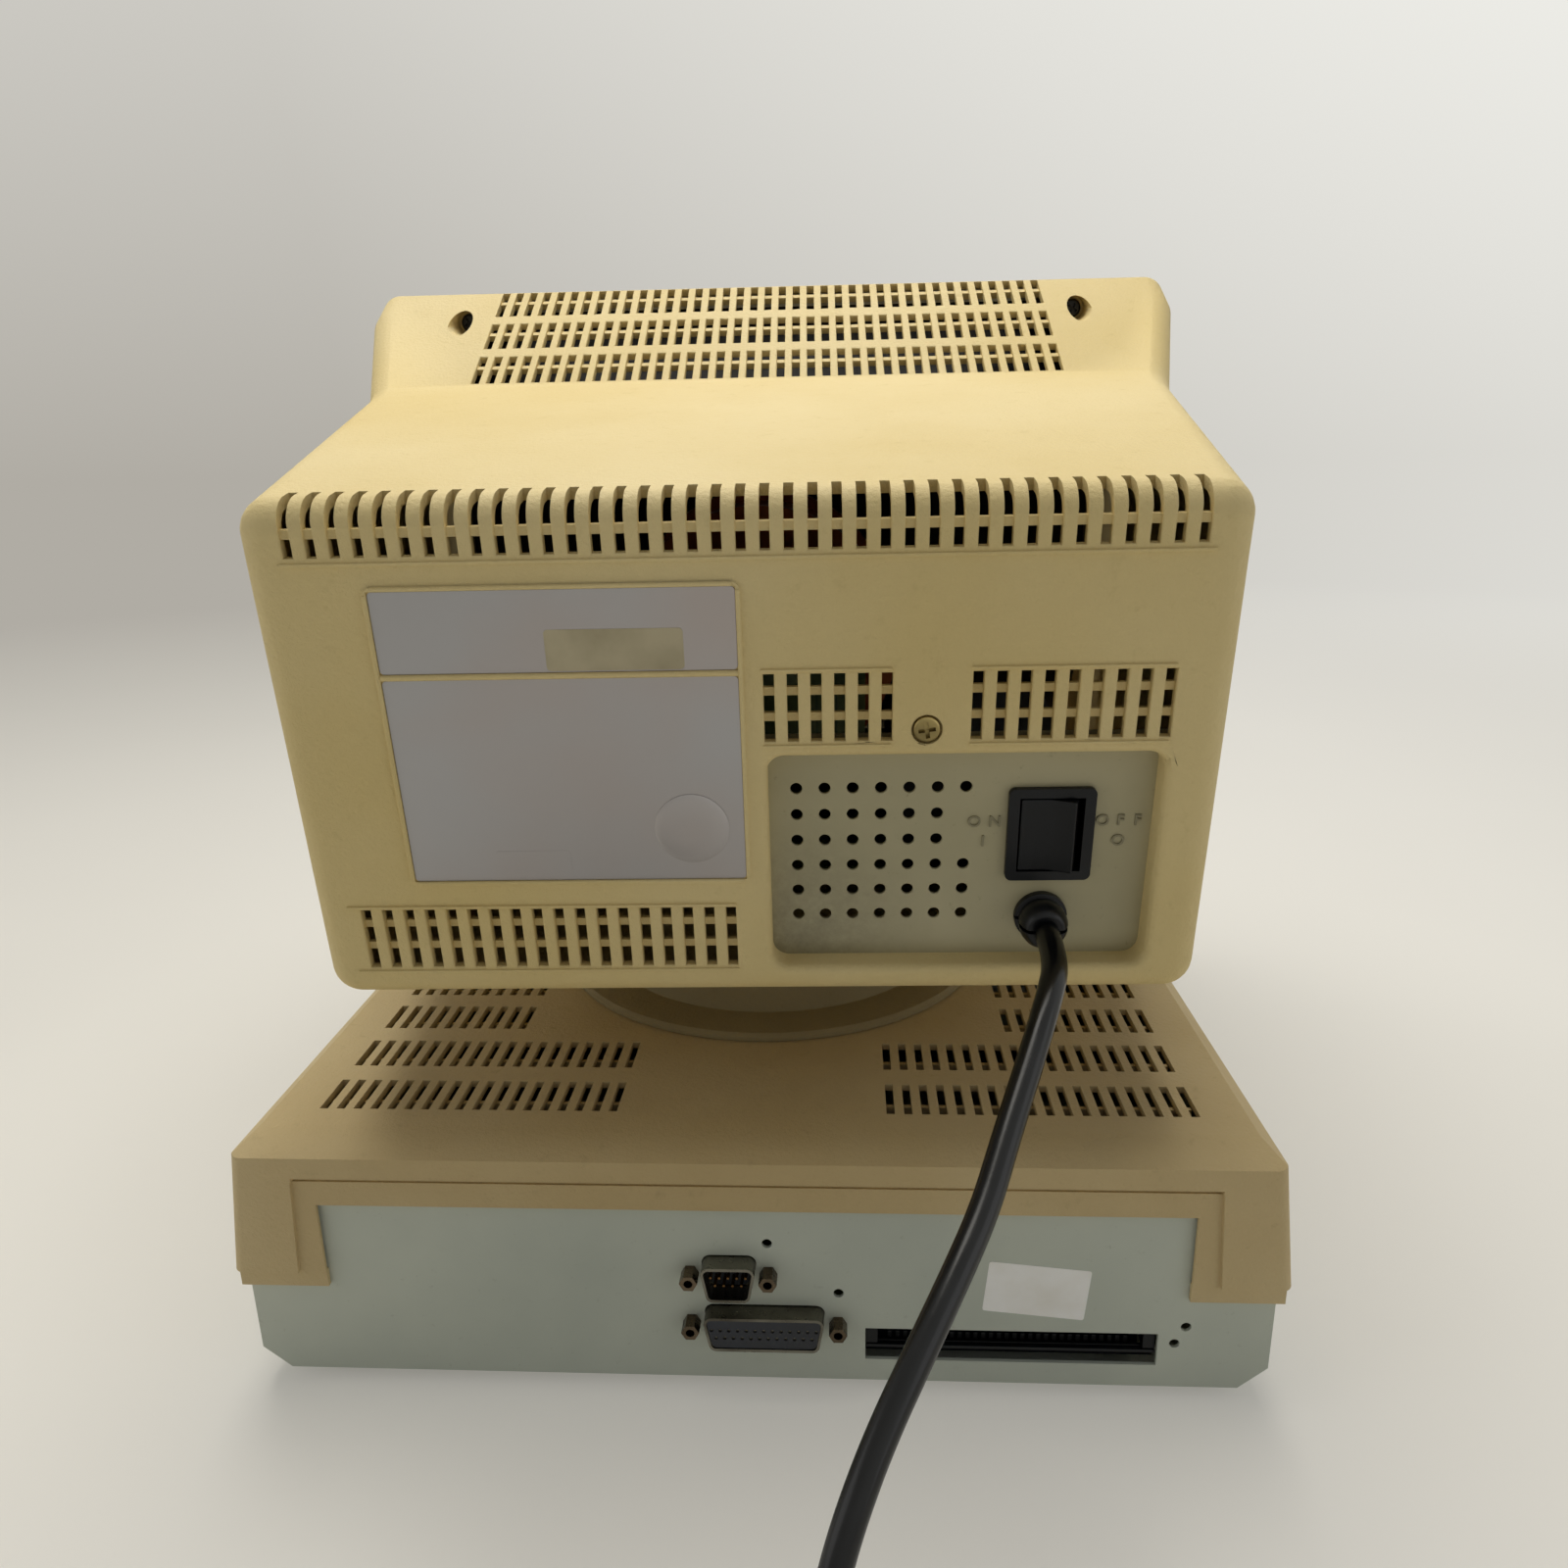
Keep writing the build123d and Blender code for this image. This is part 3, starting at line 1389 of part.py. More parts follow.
def coil_points():
    """Ends and start directions of the coil's arcs: half turns inward, two quarter turns that climb,
    then quarter turns outward on the upper layer."""
    start, heading, right, first = coil_frame()
    pitch = cord_diameter + coil_gap
    arcs = []
    place = first
    out = right * -1
    ahead = heading
    radius = coil_outer_radius
    for _ in range(coil_turns_down * 2):
        arcs.append((place, place - out * radius * 2, ahead))
        place = place - out * radius * 2
        out = out * -1
        ahead = ahead * -1
        radius = radius - pitch / 2
    climb = Vector(0, 0, pitch / 2)
    reach = math.sqrt(radius ** 2 + (pitch / 2) ** 2)
    centre = place - out * radius
    top = centre + ahead * reach + climb
    arcs.append((place, top, ahead))
    landing = centre - out * radius + climb * 2
    arcs.append((top, landing, None))
    place = landing
    out = out * -1
    ahead = ahead * -1
    for _ in range(coil_quarters_up):
        radius = radius + pitch / 4
        centre = place - out * radius
        following = centre + ahead * radius
        arcs.append((place, following, ahead))
        place = following
        out, ahead = ahead, out * -1
    return start, first, arcs, place, ahead


def make_cord_coil():
    """The coil of the cord's unseen length, two layers deep, with its least gap and its length."""
    start, first, arcs, place, ahead = coil_points()
    edges = [Edge.make_line(start, first)]
    for begin, end, tangent in arcs:
        if tangent is None:
            tangent = edges[-1] % 1
        edges.append(Edge.make_tangent_arc(begin, tangent, end))
    edges.append(Edge.make_line(place, place + ahead * coil_tail))
    path = Wire(edges)
    coil = swept(path)
    print("coil length", round(path.length, 1), "least gap", round(least_gap(path), 2),
          "volume share", round(coil.volume / (math.pi * cord_diameter ** 2 / 4 * path.length), 5))
    return one_solid(coil), path.length


def least_gap(path):
    """Least clear distance between turns, measured on points along the coil."""
    count = int(path.length / (cord_diameter / 3))
    points = [path @ (number / count) for number in range(count + 1)]
    step = path.length / count
    apart = int(cord_diameter * 3 / step)
    least = path.length
    for number, point in enumerate(points):
        for other in points[number + apart:]:
            least = min(least, (point - other).length)
    return least - cord_diameter


def plug_place():
    """Place of the plug: its own x runs along the cord, away from the coil."""
    _, _, _, place, ahead = coil_points()
    return Plane(origin=place + ahead * coil_tail, x_dir=ahead, z_dir=(0, 0, 1)).location


def plug_half_height():
    """Half the plug's height, so that it lies on the desk level with the cord that enters it."""
    return route[-1][2] + foot_height + cord_diameter + coil_gap


def make_plug():
    """Moulded mains plug with its tapered strain relief."""
    body = extrude(Plane.YZ.offset(relief_length) * RectangleRounded(
        plug_width, plug_half_height() * 2, plug_round), amount=plug_length)
    body = chamfer(body.faces().sort_by(Axis.X)[0].edges(), plug_round / 2)
    relief = Pos(relief_length / 2, 0, 0) * Rot(0, quarter_turn, 0) * Cone(
        cord_diameter / 2 + sheet, relief_root_radius, relief_length)
    return one_solid(plug_place() * (body + relief))


def make_plug_pins():
    """Two flat blades and a round earth pin."""
    face = relief_length + plug_length
    pins = []
    for side in (-1, 1):
        y = side * blade_spacing / 2
        blade = block(face, face + blade_length, y - blade_thickness / 2, y + blade_thickness / 2,
                      -blade_width / 2, blade_width / 2)
        pins.append(plug_place() * blade)
    pin = Pos(face + earth_pin_length / 2, 0, -earth_pin_drop) * Rot(0, quarter_turn, 0) * Cylinder(
        earth_pin_radius, earth_pin_length)
    pins.append(plug_place() * pin)
    return pins


def make_base_nodes():
    """Every node of the system unit."""
    nodes = {
        "base_cover": make_base_cover(),
        "chassis_pan": make_pan(),
        "rear_panel": make_rear_panel(),
        "base_front": make_base_front(),
        "drive_bracket": make_drive_bracket(),
        "main_board": make_main_board(),
        "option_connector": make_option_connector(),
        "printer_port": make_port(printer_port_x, printer_port_z, printer_shell_width, printer_nut_spacing,
                                  False),
        "serial_port": make_port(serial_port_x, serial_port_z, serial_shell_width, serial_nut_spacing, True),
        "power_lamp": make_power_lamp(),
        "keyboard_jack": make_keyboard_jack(),
        "speaker": make_speaker(),
        "swivel_clip": make_swivel_clip(),
    }
    for number, (x, z) in enumerate(jack_nut_places(), 1):
        nodes["jack_nut_" + str(number)] = make_jack_nut(x, z)
    number = 0
    for x in (-1, 1):
        for y in (-1, 1):
            number += 1
            nodes["foot_" + str(number)] = make_foot(x * (pan_half_width - foot_inset_side),
                                                     y * (rear_y - foot_inset_end))
    for name, side in (("a", 1), ("b", -1)):
        x = side * drive_offset
        nodes["drive_" + name] = make_drive(x)
        nodes["drive_front_" + name] = make_drive_front(x)
        nodes["drive_flap_" + name] = make_drive_flap(x)
        nodes["eject_button_" + name] = make_eject_button(x)
    return nodes


def make_stand_nodes():
    """Every node of the swivelling stand and of the cord that turns with it."""
    cord, stretch = make_power_cord()
    coil, wound = make_cord_coil()
    print("cord length", round(stretch + wound, 1))
    nodes = {
        "turntable": make_turntable(),
        "tilt_saddle": make_tilt_saddle(),
        "power_cord": cord,
        "cord_coil": coil,
        "power_plug": make_plug(),
    }
    for name, pin in zip(("blade_left", "blade_right", "earth_pin"), make_plug_pins()):
        nodes[name] = one_solid(pin)
    return nodes


def make_monitor_nodes():
    """Every node of the monitor, put in its place on the stand."""
    own = {
        "rear_cover": make_rear_cover(),
        "power_panel": make_power_panel(),
        "switch_body": make_switch_body(),
        "switch_rocker": make_rocker(),
        "cord_bushing": make_cord_bushing(),
        "monitor_bezel": make_bezel(),
        "tube_panel": make_tube_panel(),
        "tube_funnel": make_tube_funnel(),
        "tension_band": make_tension_band(),
        "deflection_yoke": make_yoke(),
        "neck_board": make_neck_board(),
        "monitor_board": make_monitor_board(),
        "transformer": make_transformer(),
        "power_supply": make_power_supply(),
    }
    for name, x in zip(("brightness_knob", "contrast_knob"), knob_places()):
        own[name] = make_knob(x)
    nodes = {name: monitor_place * shape for name, shape in own.items()}
    nodes["ball_foot"] = make_ball_foot()
    return nodes


os.makedirs("parts", exist_ok=True)
for build in (make_base_nodes, make_stand_nodes, make_monitor_nodes):
    for node, piece in build().items():
        write(node, piece)
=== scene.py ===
"""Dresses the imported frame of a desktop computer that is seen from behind, with its monitor on top.

Everything is in metres in the frame of the CAD nodes. Sizes in the classes are in millimetres, and
the monitor's own pieces are drawn in the monitor's frame: y is 0 on its rear face and z is level
with the middle of the picture.
"""
import logging
import math
from dataclasses import dataclass
from enum import Enum
from typing import Callable, Optional, Sequence, Union

import bpy
from mathutils import Matrix, Vector


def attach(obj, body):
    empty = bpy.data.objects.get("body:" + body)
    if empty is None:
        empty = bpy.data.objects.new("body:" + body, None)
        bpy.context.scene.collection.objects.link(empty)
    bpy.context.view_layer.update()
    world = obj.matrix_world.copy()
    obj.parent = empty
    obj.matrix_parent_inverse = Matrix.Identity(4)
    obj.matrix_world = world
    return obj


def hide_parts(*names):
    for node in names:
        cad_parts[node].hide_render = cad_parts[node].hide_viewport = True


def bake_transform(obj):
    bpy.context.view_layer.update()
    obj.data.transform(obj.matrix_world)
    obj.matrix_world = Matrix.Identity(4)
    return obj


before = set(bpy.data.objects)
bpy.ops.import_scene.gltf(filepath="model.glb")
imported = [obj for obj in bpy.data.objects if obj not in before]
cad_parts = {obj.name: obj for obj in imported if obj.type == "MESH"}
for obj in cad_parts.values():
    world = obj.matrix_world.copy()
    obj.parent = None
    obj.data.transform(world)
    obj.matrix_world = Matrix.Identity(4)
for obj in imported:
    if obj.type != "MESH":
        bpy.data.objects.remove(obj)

LOG = logging.getLogger("desk_computer")
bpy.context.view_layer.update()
MM = 0.001
UNIT = Matrix.Identity(4)

# At rest the monitor is turned a little on its stand and leans over its tilt centre. Its rear face's
# place is counted from there.
TILT_HEIGHT = 0.196
REST_TURN = math.radians(1.41)
REST_LEAN = math.radians(-7.2)
REAR_FACE = (0.0, 0.1379, 0.0268)
MONITOR = (Matrix.Translation((0.0, 0.0, TILT_HEIGHT)) @ Matrix.Rotation(REST_TURN, 4, "Z")
           @ Matrix.Rotation(REST_LEAN, 4, "X") @ Matrix.Translation(REAR_FACE))
TO_MONITOR = MONITOR.inverted()

# Corners are level with each other when they differ by less than this, in metres.
LEVEL = 0.000001
# A corner is on a line or a face when it is nearer to it than this, in millimetres.
ON_LINE = 0.05
# Corners nearer than this are one corner, in metres.
SAME_PLACE = 0.000002
# Faces that differ by less than this lie in one plane, in degrees.
FLAT = 0.5
# Edges that turn by more degrees than this are sharp.
SHARP = 40.0
# The turn that points a round piece to the rear.
TO_REAR = (-math.pi / 2, 0.0, 0.0)

Piece = bpy.types.Object
Material = bpy.types.Material
Tree = bpy.types.NodeTree
Socket = bpy.types.NodeSocket
Value = Union[float, Sequence[float], Socket]
Pair = tuple[float, float]
Triple = tuple[float, float, float]
Area = tuple[float, float, float, float]


class Body(Enum):
    """The bodies that pieces ride on."""

    BASE = "base"
    STAND = "stand"
    MONITOR = "monitor"
    ROCKER = "rocker"
    BRIGHTNESS = "brightness"
    CONTRAST = "contrast"
    FLAP_A = "flap_a"
    FLAP_B = "flap_b"
    BUTTON_A = "button_a"
    BUTTON_B = "button_b"


class Pick(Enum):
    """What is selected in edit mode, as the switches for corners, edges and faces."""

    CORNERS = (True, False, False)
    EDGES = (False, True, False)
    FACES = (False, False, True)


# Colour and nodes

def linear(code: str) -> tuple[float, float, float, float]:
    """Turns a colour as it is seen into the renderer's linear values.

    Args:
        code: An sRGB hex value, such as "D9C48C".

    Returns:
        Red, green, blue and alpha, linear.
    """
    channels = [int(code[at:at + 2], 16) / 255 for at in (0, 2, 4)]
    spread = [c / 12.92 if c <= 0.04045 else ((c + 0.055) / 1.055) ** 2.4 for c in channels]
    return spread[0], spread[1], spread[2], 1.0


def scale_of(size: float) -> float:
    """Works out the scale of a pattern whose features are a size in millimetres across."""
    return 1 / (size * MM)


def add(tree: Tree, kind: str, feeds: Optional[dict] = None, **settings) -> bpy.types.Node:
    """Adds a node with its settings, and joins or sets its inputs.

    Args:
        tree: The node tree that gets the node.
        kind: The node's type name.
        feeds: Input names or numbers, each with a value or another node's output.
        settings: Properties of the node itself.

    Returns:
        The new node.
    """
    made = tree.nodes.new(kind)
    for name, value in settings.items():
        setattr(made, name, value)
    for key, value in (feeds or {}).items():
        if isinstance(value, Socket):
            tree.links.new(value, made.inputs[key])
        else:
            made.inputs[key].default_value = value
    return made


def bare_tree(owner: Union[Material, bpy.types.World]) -> Tree:
    """Gives a material or a world an empty node tree.

    Args:
        owner: The material or the world.

    Returns:
        Its tree.
    """
    owner.use_nodes = True
    owner.node_tree.nodes.clear()
    return owner.node_tree


@dataclass(frozen=True)
class Finish:
    """A real material's finish, which goes unevenly from its first colour to its aged one."""

    name: str
    colour: str
    aged: str

    def feeds(self, tree: Tree, place: Socket) -> dict[str, Value]:
        """Builds the surface's patterns.

        Args:
            tree: The material's node tree.
            place: The place on the piece.

        Returns:
            What each of the shader's inputs gets.
        """
        raise NotImplementedError

    def drift(self, tree: Tree, pattern: Socket, low: float, high: float) -> Socket:
        """Goes from the first colour to the aged one as a pattern goes from low to high.

        Args:
            tree: The material's node tree.
            pattern: The pattern's value.
            low: Where the first colour ends.
            high: Where the aged colour starts.

        Returns:
            The colour's output.
        """
        share = add(tree, "ShaderNodeMapRange", {0: pattern, 1: low, 2: high})
        mixed = {0: share.outputs[0], 6: linear(self.colour), 7: linear(self.aged)}
        return add(tree, "ShaderNodeMix", mixed, data_type="RGBA").outputs[2]

    def make(self) -> Material:
        """Builds the material.

        Returns:
            The finished material.
        """
        material = bpy.data.materials.new(self.name)
        tree = bare_tree(material)
        place = add(tree, "ShaderNodeTexCoord").outputs["Object"]
        shader = add(tree, "ShaderNodeBsdfPrincipled", self.feeds(tree, place))
        add(tree, "ShaderNodeOutputMaterial", {0: shader.outputs[0]})
        return material


@dataclass(frozen=True)
class MouldedAbs(Finish):
    """Injection-moulded ABS: dull, finely pebbled by its mould, and yellowed unevenly with age."""

    grime: str
    roughness: float = 0.62
    grain: float = 1.3
    grain_depth: float = 0.3
    sparkle: float = 0.4545
    patch: float = 120.0
    spot: float = 6.667
    dust: float = 0.25

    def feeds(self, tree: Tree, place: Socket) -> dict[str, Value]:
        """Builds the yellowing, the dull spots and the mould's pebbles.

        Args:
            tree: The material's node tree.
            place: The place on the piece.

        Returns:
            What each of the shader's inputs gets.
        """
        # Yellowing runs in patches about a hand wide.
        patches = add(tree, "ShaderNodeTexNoise", {
            "Vector": place, "Scale": scale_of(self.patch), "Detail": 3.0})
        colour = self.drift(tree, patches.outputs[0], 0.35, 0.68)
        # Handling leaves small dull spots a few millimetres across.
        spots = add(tree, "ShaderNodeTexNoise", {
            "Vector": place, "Scale": scale_of(self.spot), "Detail": 5.0, "Roughness": 0.7})
        marked = add(tree, "ShaderNodeMapRange", {0: spots.outputs[0], 1: 0.6, 2: 0.8, 4: self.dust})
        spotted = add(tree, "ShaderNodeMix", {0: marked.outputs[0], 6: colour, 7: linear(self.grime)},
                      data_type="RGBA")
        # The mould's pebbles are about a millimetre across.
        pebbles = add(tree, "ShaderNodeTexVoronoi", {"Vector": place, "Scale": scale_of(self.grain)},
                      feature="SMOOTH_F1")
        fine = add(tree, "ShaderNodeTexNoise", {
            "Vector": place, "Scale": scale_of(self.sparkle), "Detail": 2.0})
        height = add(tree, "ShaderNodeMath", {0: pebbles.outputs["Distance"], 1: fine.outputs[0]},
                     operation="ADD")
        bump = add(tree, "ShaderNodeBump", {"Height": height.outputs[0], "Strength": 0.6,
                                            "Distance": self.grain_depth * MM})
        worn = add(tree, "ShaderNodeMapRange", {0: spots.outputs[0], 3: self.roughness - 0.08,
                                                4: self.roughness + 0.1})
        return {"Base Color": spotted.outputs[2], "Roughness": worn.outputs[0], "IOR": 1.53,
                "Specular IOR Level": 0.3, "Normal": bump.outputs[0]}


@dataclass(frozen=True)
class PaintedSteel(Finish):
    """Steel sheet under a thin satin paint: smooth, with faint orange peel, scuffs, settled dirt and a patch
    of painted shade.
    """

    dirt: str
    roughness: float = 0.42
    dirt_and_shade_middle: Triple = (0.0, 0.0, 0.0)
    dirt_and_shade_reach: float = 0.0
    cloud: float = 71.43
    speck: float = 3.846
    peel: float = 1.111
    peel_depth: float = 0.03

    def feeds(self, tree: Tree, place: Socket) -> dict[str, Value]:
        """Builds the fading, the specks, the patch of dirt and painted shade, and the orange peel.

        Args:
            tree: The material's node tree.
            place: The place on the piece.

        Returns:
            What each of the shader's inputs gets.
        """
        cloud = add(tree, "ShaderNodeTexNoise", {
            "Vector": place, "Scale": scale_of(self.cloud), "Detail": 4.0})
        colour = self.drift(tree, cloud.outputs[0], 0.35, 0.7)
        specks = add(tree, "ShaderNodeTexNoise", {
            "Vector": place, "Scale": scale_of(self.speck), "Detail": 6.0, "Roughness": 0.75})
        marks = add(tree, "ShaderNodeMapRange", {0: specks.outputs[0], 1: 0.62, 2: 0.75, 4: 0.5})
        # Round one place the specks spread into a darker patch that fades with distance: partly dirt, partly
        # painted shade of the panel's recess.
        if self.dirt_and_shade_reach > 0:
            middle = [way * MM for way in self.dirt_and_shade_middle]
            away = add(tree, "ShaderNodeVectorMath", {0: place, 1: middle}, operation="DISTANCE")
            near = add(tree, "ShaderNodeMapRange", {0: away.outputs["Value"], 1: 0.0, 2: self.dirt_and_shade_reach * MM,
                                                    3: 1.0, 4: 0.0})
            film = add(tree, "ShaderNodeMath", {0: near.outputs[0], 1: specks.outputs[0]},
                       operation="MULTIPLY")
            marks = add(tree, "ShaderNodeMath", {0: film.outputs[0], 1: marks.outputs[0]},
                        operation="MAXIMUM")
        dirty_and_shaded = add(tree, "ShaderNodeMix", {0: marks.outputs[0], 6: colour, 7: linear(self.dirt)},
                    data_type="RGBA")
        # Orange peel of sprayed paint, a millimetre or so from crest to crest.
        peel = add(tree, "ShaderNodeTexNoise", {"Vector": place, "Scale": scale_of(self.peel), "Detail": 1.0})
        bump = add(tree, "ShaderNodeBump", {"Height": peel.outputs[0], "Strength": 0.35,
                                            "Distance": self.peel_depth * MM})
        dull = add(tree, "ShaderNodeMapRange", {0: cloud.outputs[0], 3: self.roughness - 0.08,
                                                4: self.roughness + 0.12})
        return {"Base Color": dirty_and_shaded.outputs[2], "Roughness": dull.outputs[0], "IOR": 1.5,
                "Normal": bump.outputs[0]}


@dataclass(frozen=True)
class PlatedMetal(Finish):
    """Bare or plated metal: bright, finely scratched, with a dull film in places."""

    roughness: float = 0.3
    stretch: Triple = (1.0, 1.0, 1.0)
    scratch: float = 2.0
    scratch_depth: float = 0.02
    cloud: float = 16.67
    unevenness: float = 0.12

    def feeds(self, tree: Tree, place: Socket) -> dict[str, Value]:
        """Builds the dull film and the fine scratches.

        Args:
            tree: The material's node tree.
            place: The place on the piece.

        Returns:
            What each of the shader's inputs gets.
        """
        drawn = add(tree, "ShaderNodeMapping", {"Vector": place, "Scale": self.stretch})
        lines = add(tree, "ShaderNodeTexNoise", {"Vector": drawn.outputs[0], "Scale": scale_of(self.scratch),
                                                 "Detail": 3.0})
        cloud = add(tree, "ShaderNodeTexNoise", {
            "Vector": place, "Scale": scale_of(self.cloud), "Detail": 3.0})
        dull = add(tree, "ShaderNodeMapRange", {0: lines.outputs[0], 3: self.roughness - self.unevenness,
                                                4: self.roughness + self.unevenness})
        bump = add(tree, "ShaderNodeBump", {"Height": lines.outputs[0], "Strength": 0.25,
                                            "Distance": self.scratch_depth * MM})
        return {"Base Color": self.drift(tree, cloud.outputs[0], 0.4, 0.75), "Metallic": 1.0,
                "Roughness": dull.outputs[0], "Normal": bump.outputs[0]}


@dataclass(frozen=True)
class SmoothMoulding(Finish):
    """Unpainted plastic or rubber with little grain: black switch parts, sheath, glass-filled inserts."""

    roughness: float = 0.35
    grain: float = 0.6
    grain_depth: float = 0.02
    shine: float = 0.5
    cloud: float = 11.11

    def feeds(self, tree: Tree, place: Socket) -> dict[str, Value]:
        """Builds the rubbed places and the faint grain.

        Args:
            tree: The material's node tree.
            place: The place on the piece.

        Returns:
            What each of the shader's inputs gets.
        """
        cloud = add(tree, "ShaderNodeTexNoise", {
            "Vector": place, "Scale": scale_of(self.cloud), "Detail": 5.0})
        grain = add(tree, "ShaderNodeTexNoise", {
            "Vector": place, "Scale": scale_of(self.grain), "Detail": 2.0})
        bump = add(tree, "ShaderNodeBump", {"Height": grain.outputs[0], "Strength": 0.5,
                                            "Distance": self.grain_depth * MM})
        dull = add(tree, "ShaderNodeMapRange", {0: cloud.outputs[0], 3: self.roughness - 0.07,
                                                4: self.roughness + 0.12})
        return {"Base Color": self.drift(tree, cloud.outputs[0], 0.45, 0.8), "Roughness": dull.outputs[0],
                "IOR": 1.5, "Specular IOR Level": self.shine, "Normal": bump.outputs[0]}


@dataclass(frozen=True)
class PictureGlass(Finish):
    """Face of a picture tube: grey-green phosphor seen through thick polished glass."""

    cloud: float = 111.1
    smear: float = 33.33

    def feeds(self, tree: Tree, place: Socket) -> dict[str, Value]:
        """Builds the shading and the smears.

        Args:
            tree: The material's node tree.
            place: The place on the piece.

        Returns:
            What each of the shader's inputs gets.
        """
        cloud = add(tree, "ShaderNodeTexNoise", {
            "Vector": place, "Scale": scale_of(self.cloud), "Detail": 2.0})
        # Fingers and cloths leave smears a few centimetres long.
        smear = add(tree, "ShaderNodeTexNoise", {
            "Vector": place, "Scale": scale_of(self.smear), "Detail": 6.0, "Distortion": 1.5})
        dull = add(tree, "ShaderNodeMapRange", {0: smear.outputs[0], 3: 0.08, 4: 0.2})
        return {"Base Color": self.drift(tree, cloud.outputs[0], 0.0, 1.0), "Roughness": dull.outputs[0],
                "IOR": 1.54, "Coat Weight": 0.6, "Coat Roughness": 0.05}


@dataclass(frozen=True)
class CircuitLaminate(Finish):
    """Phenolic or glass laminate with a pattern of tracks and pads under its varnish."""

    track_pitch: float = 3.125

    def feeds(self, tree: Tree, place: Socket) -> dict[str, Value]:
        """Builds the tracks.

        Args:
            tree: The material's node tree.
            place: The place on the piece.

        Returns:
            What each of the shader's inputs gets.
        """
        # The tracks lie about 3 mm apart. One of the pattern's rows is a quarter of its unit high.
        tracks = add(tree, "ShaderNodeTexBrick", {
            "Vector": place, "Scale": scale_of(self.track_pitch) / 4, "Color1": linear(self.aged),
            "Color2": linear(self.colour), "Mortar": linear(self.colour), "Mortar Size": 0.03})
        return {"Base Color": tracks.outputs[0], "Roughness": 0.4, "IOR": 1.55}


@dataclass(frozen=True)
class PaperSticker(Finish):
    """Uncoated sticker paper: flat white going cream, with faint fibres."""

    stain: float = 16.67
    fibre: float = 0.6667
    fibre_depth: float = 0.02

    def feeds(self, tree: Tree, place: Socket) -> dict[str, Value]:
        """Builds the stains and the fibres.

        Args:
            tree: The material's node tree.
            place: The place on the piece.

        Returns:
            What each of the shader's inputs gets.
        """
        stain = add(tree, "ShaderNodeTexNoise", {
            "Vector": place, "Scale": scale_of(self.stain), "Detail": 5.0})
        fibre = add(tree, "ShaderNodeTexNoise", {
            "Vector": place, "Scale": scale_of(self.fibre), "Detail": 3.0})
        bump = add(tree, "ShaderNodeBump", {"Height": fibre.outputs[0], "Strength": 0.3,
                                            "Distance": self.fibre_depth * MM})
        return {"Base Color": self.drift(tree, stain.outputs[0], 0.4, 0.7), "Roughness": 0.75, "IOR": 1.45,
                "Normal": bump.outputs[0]}


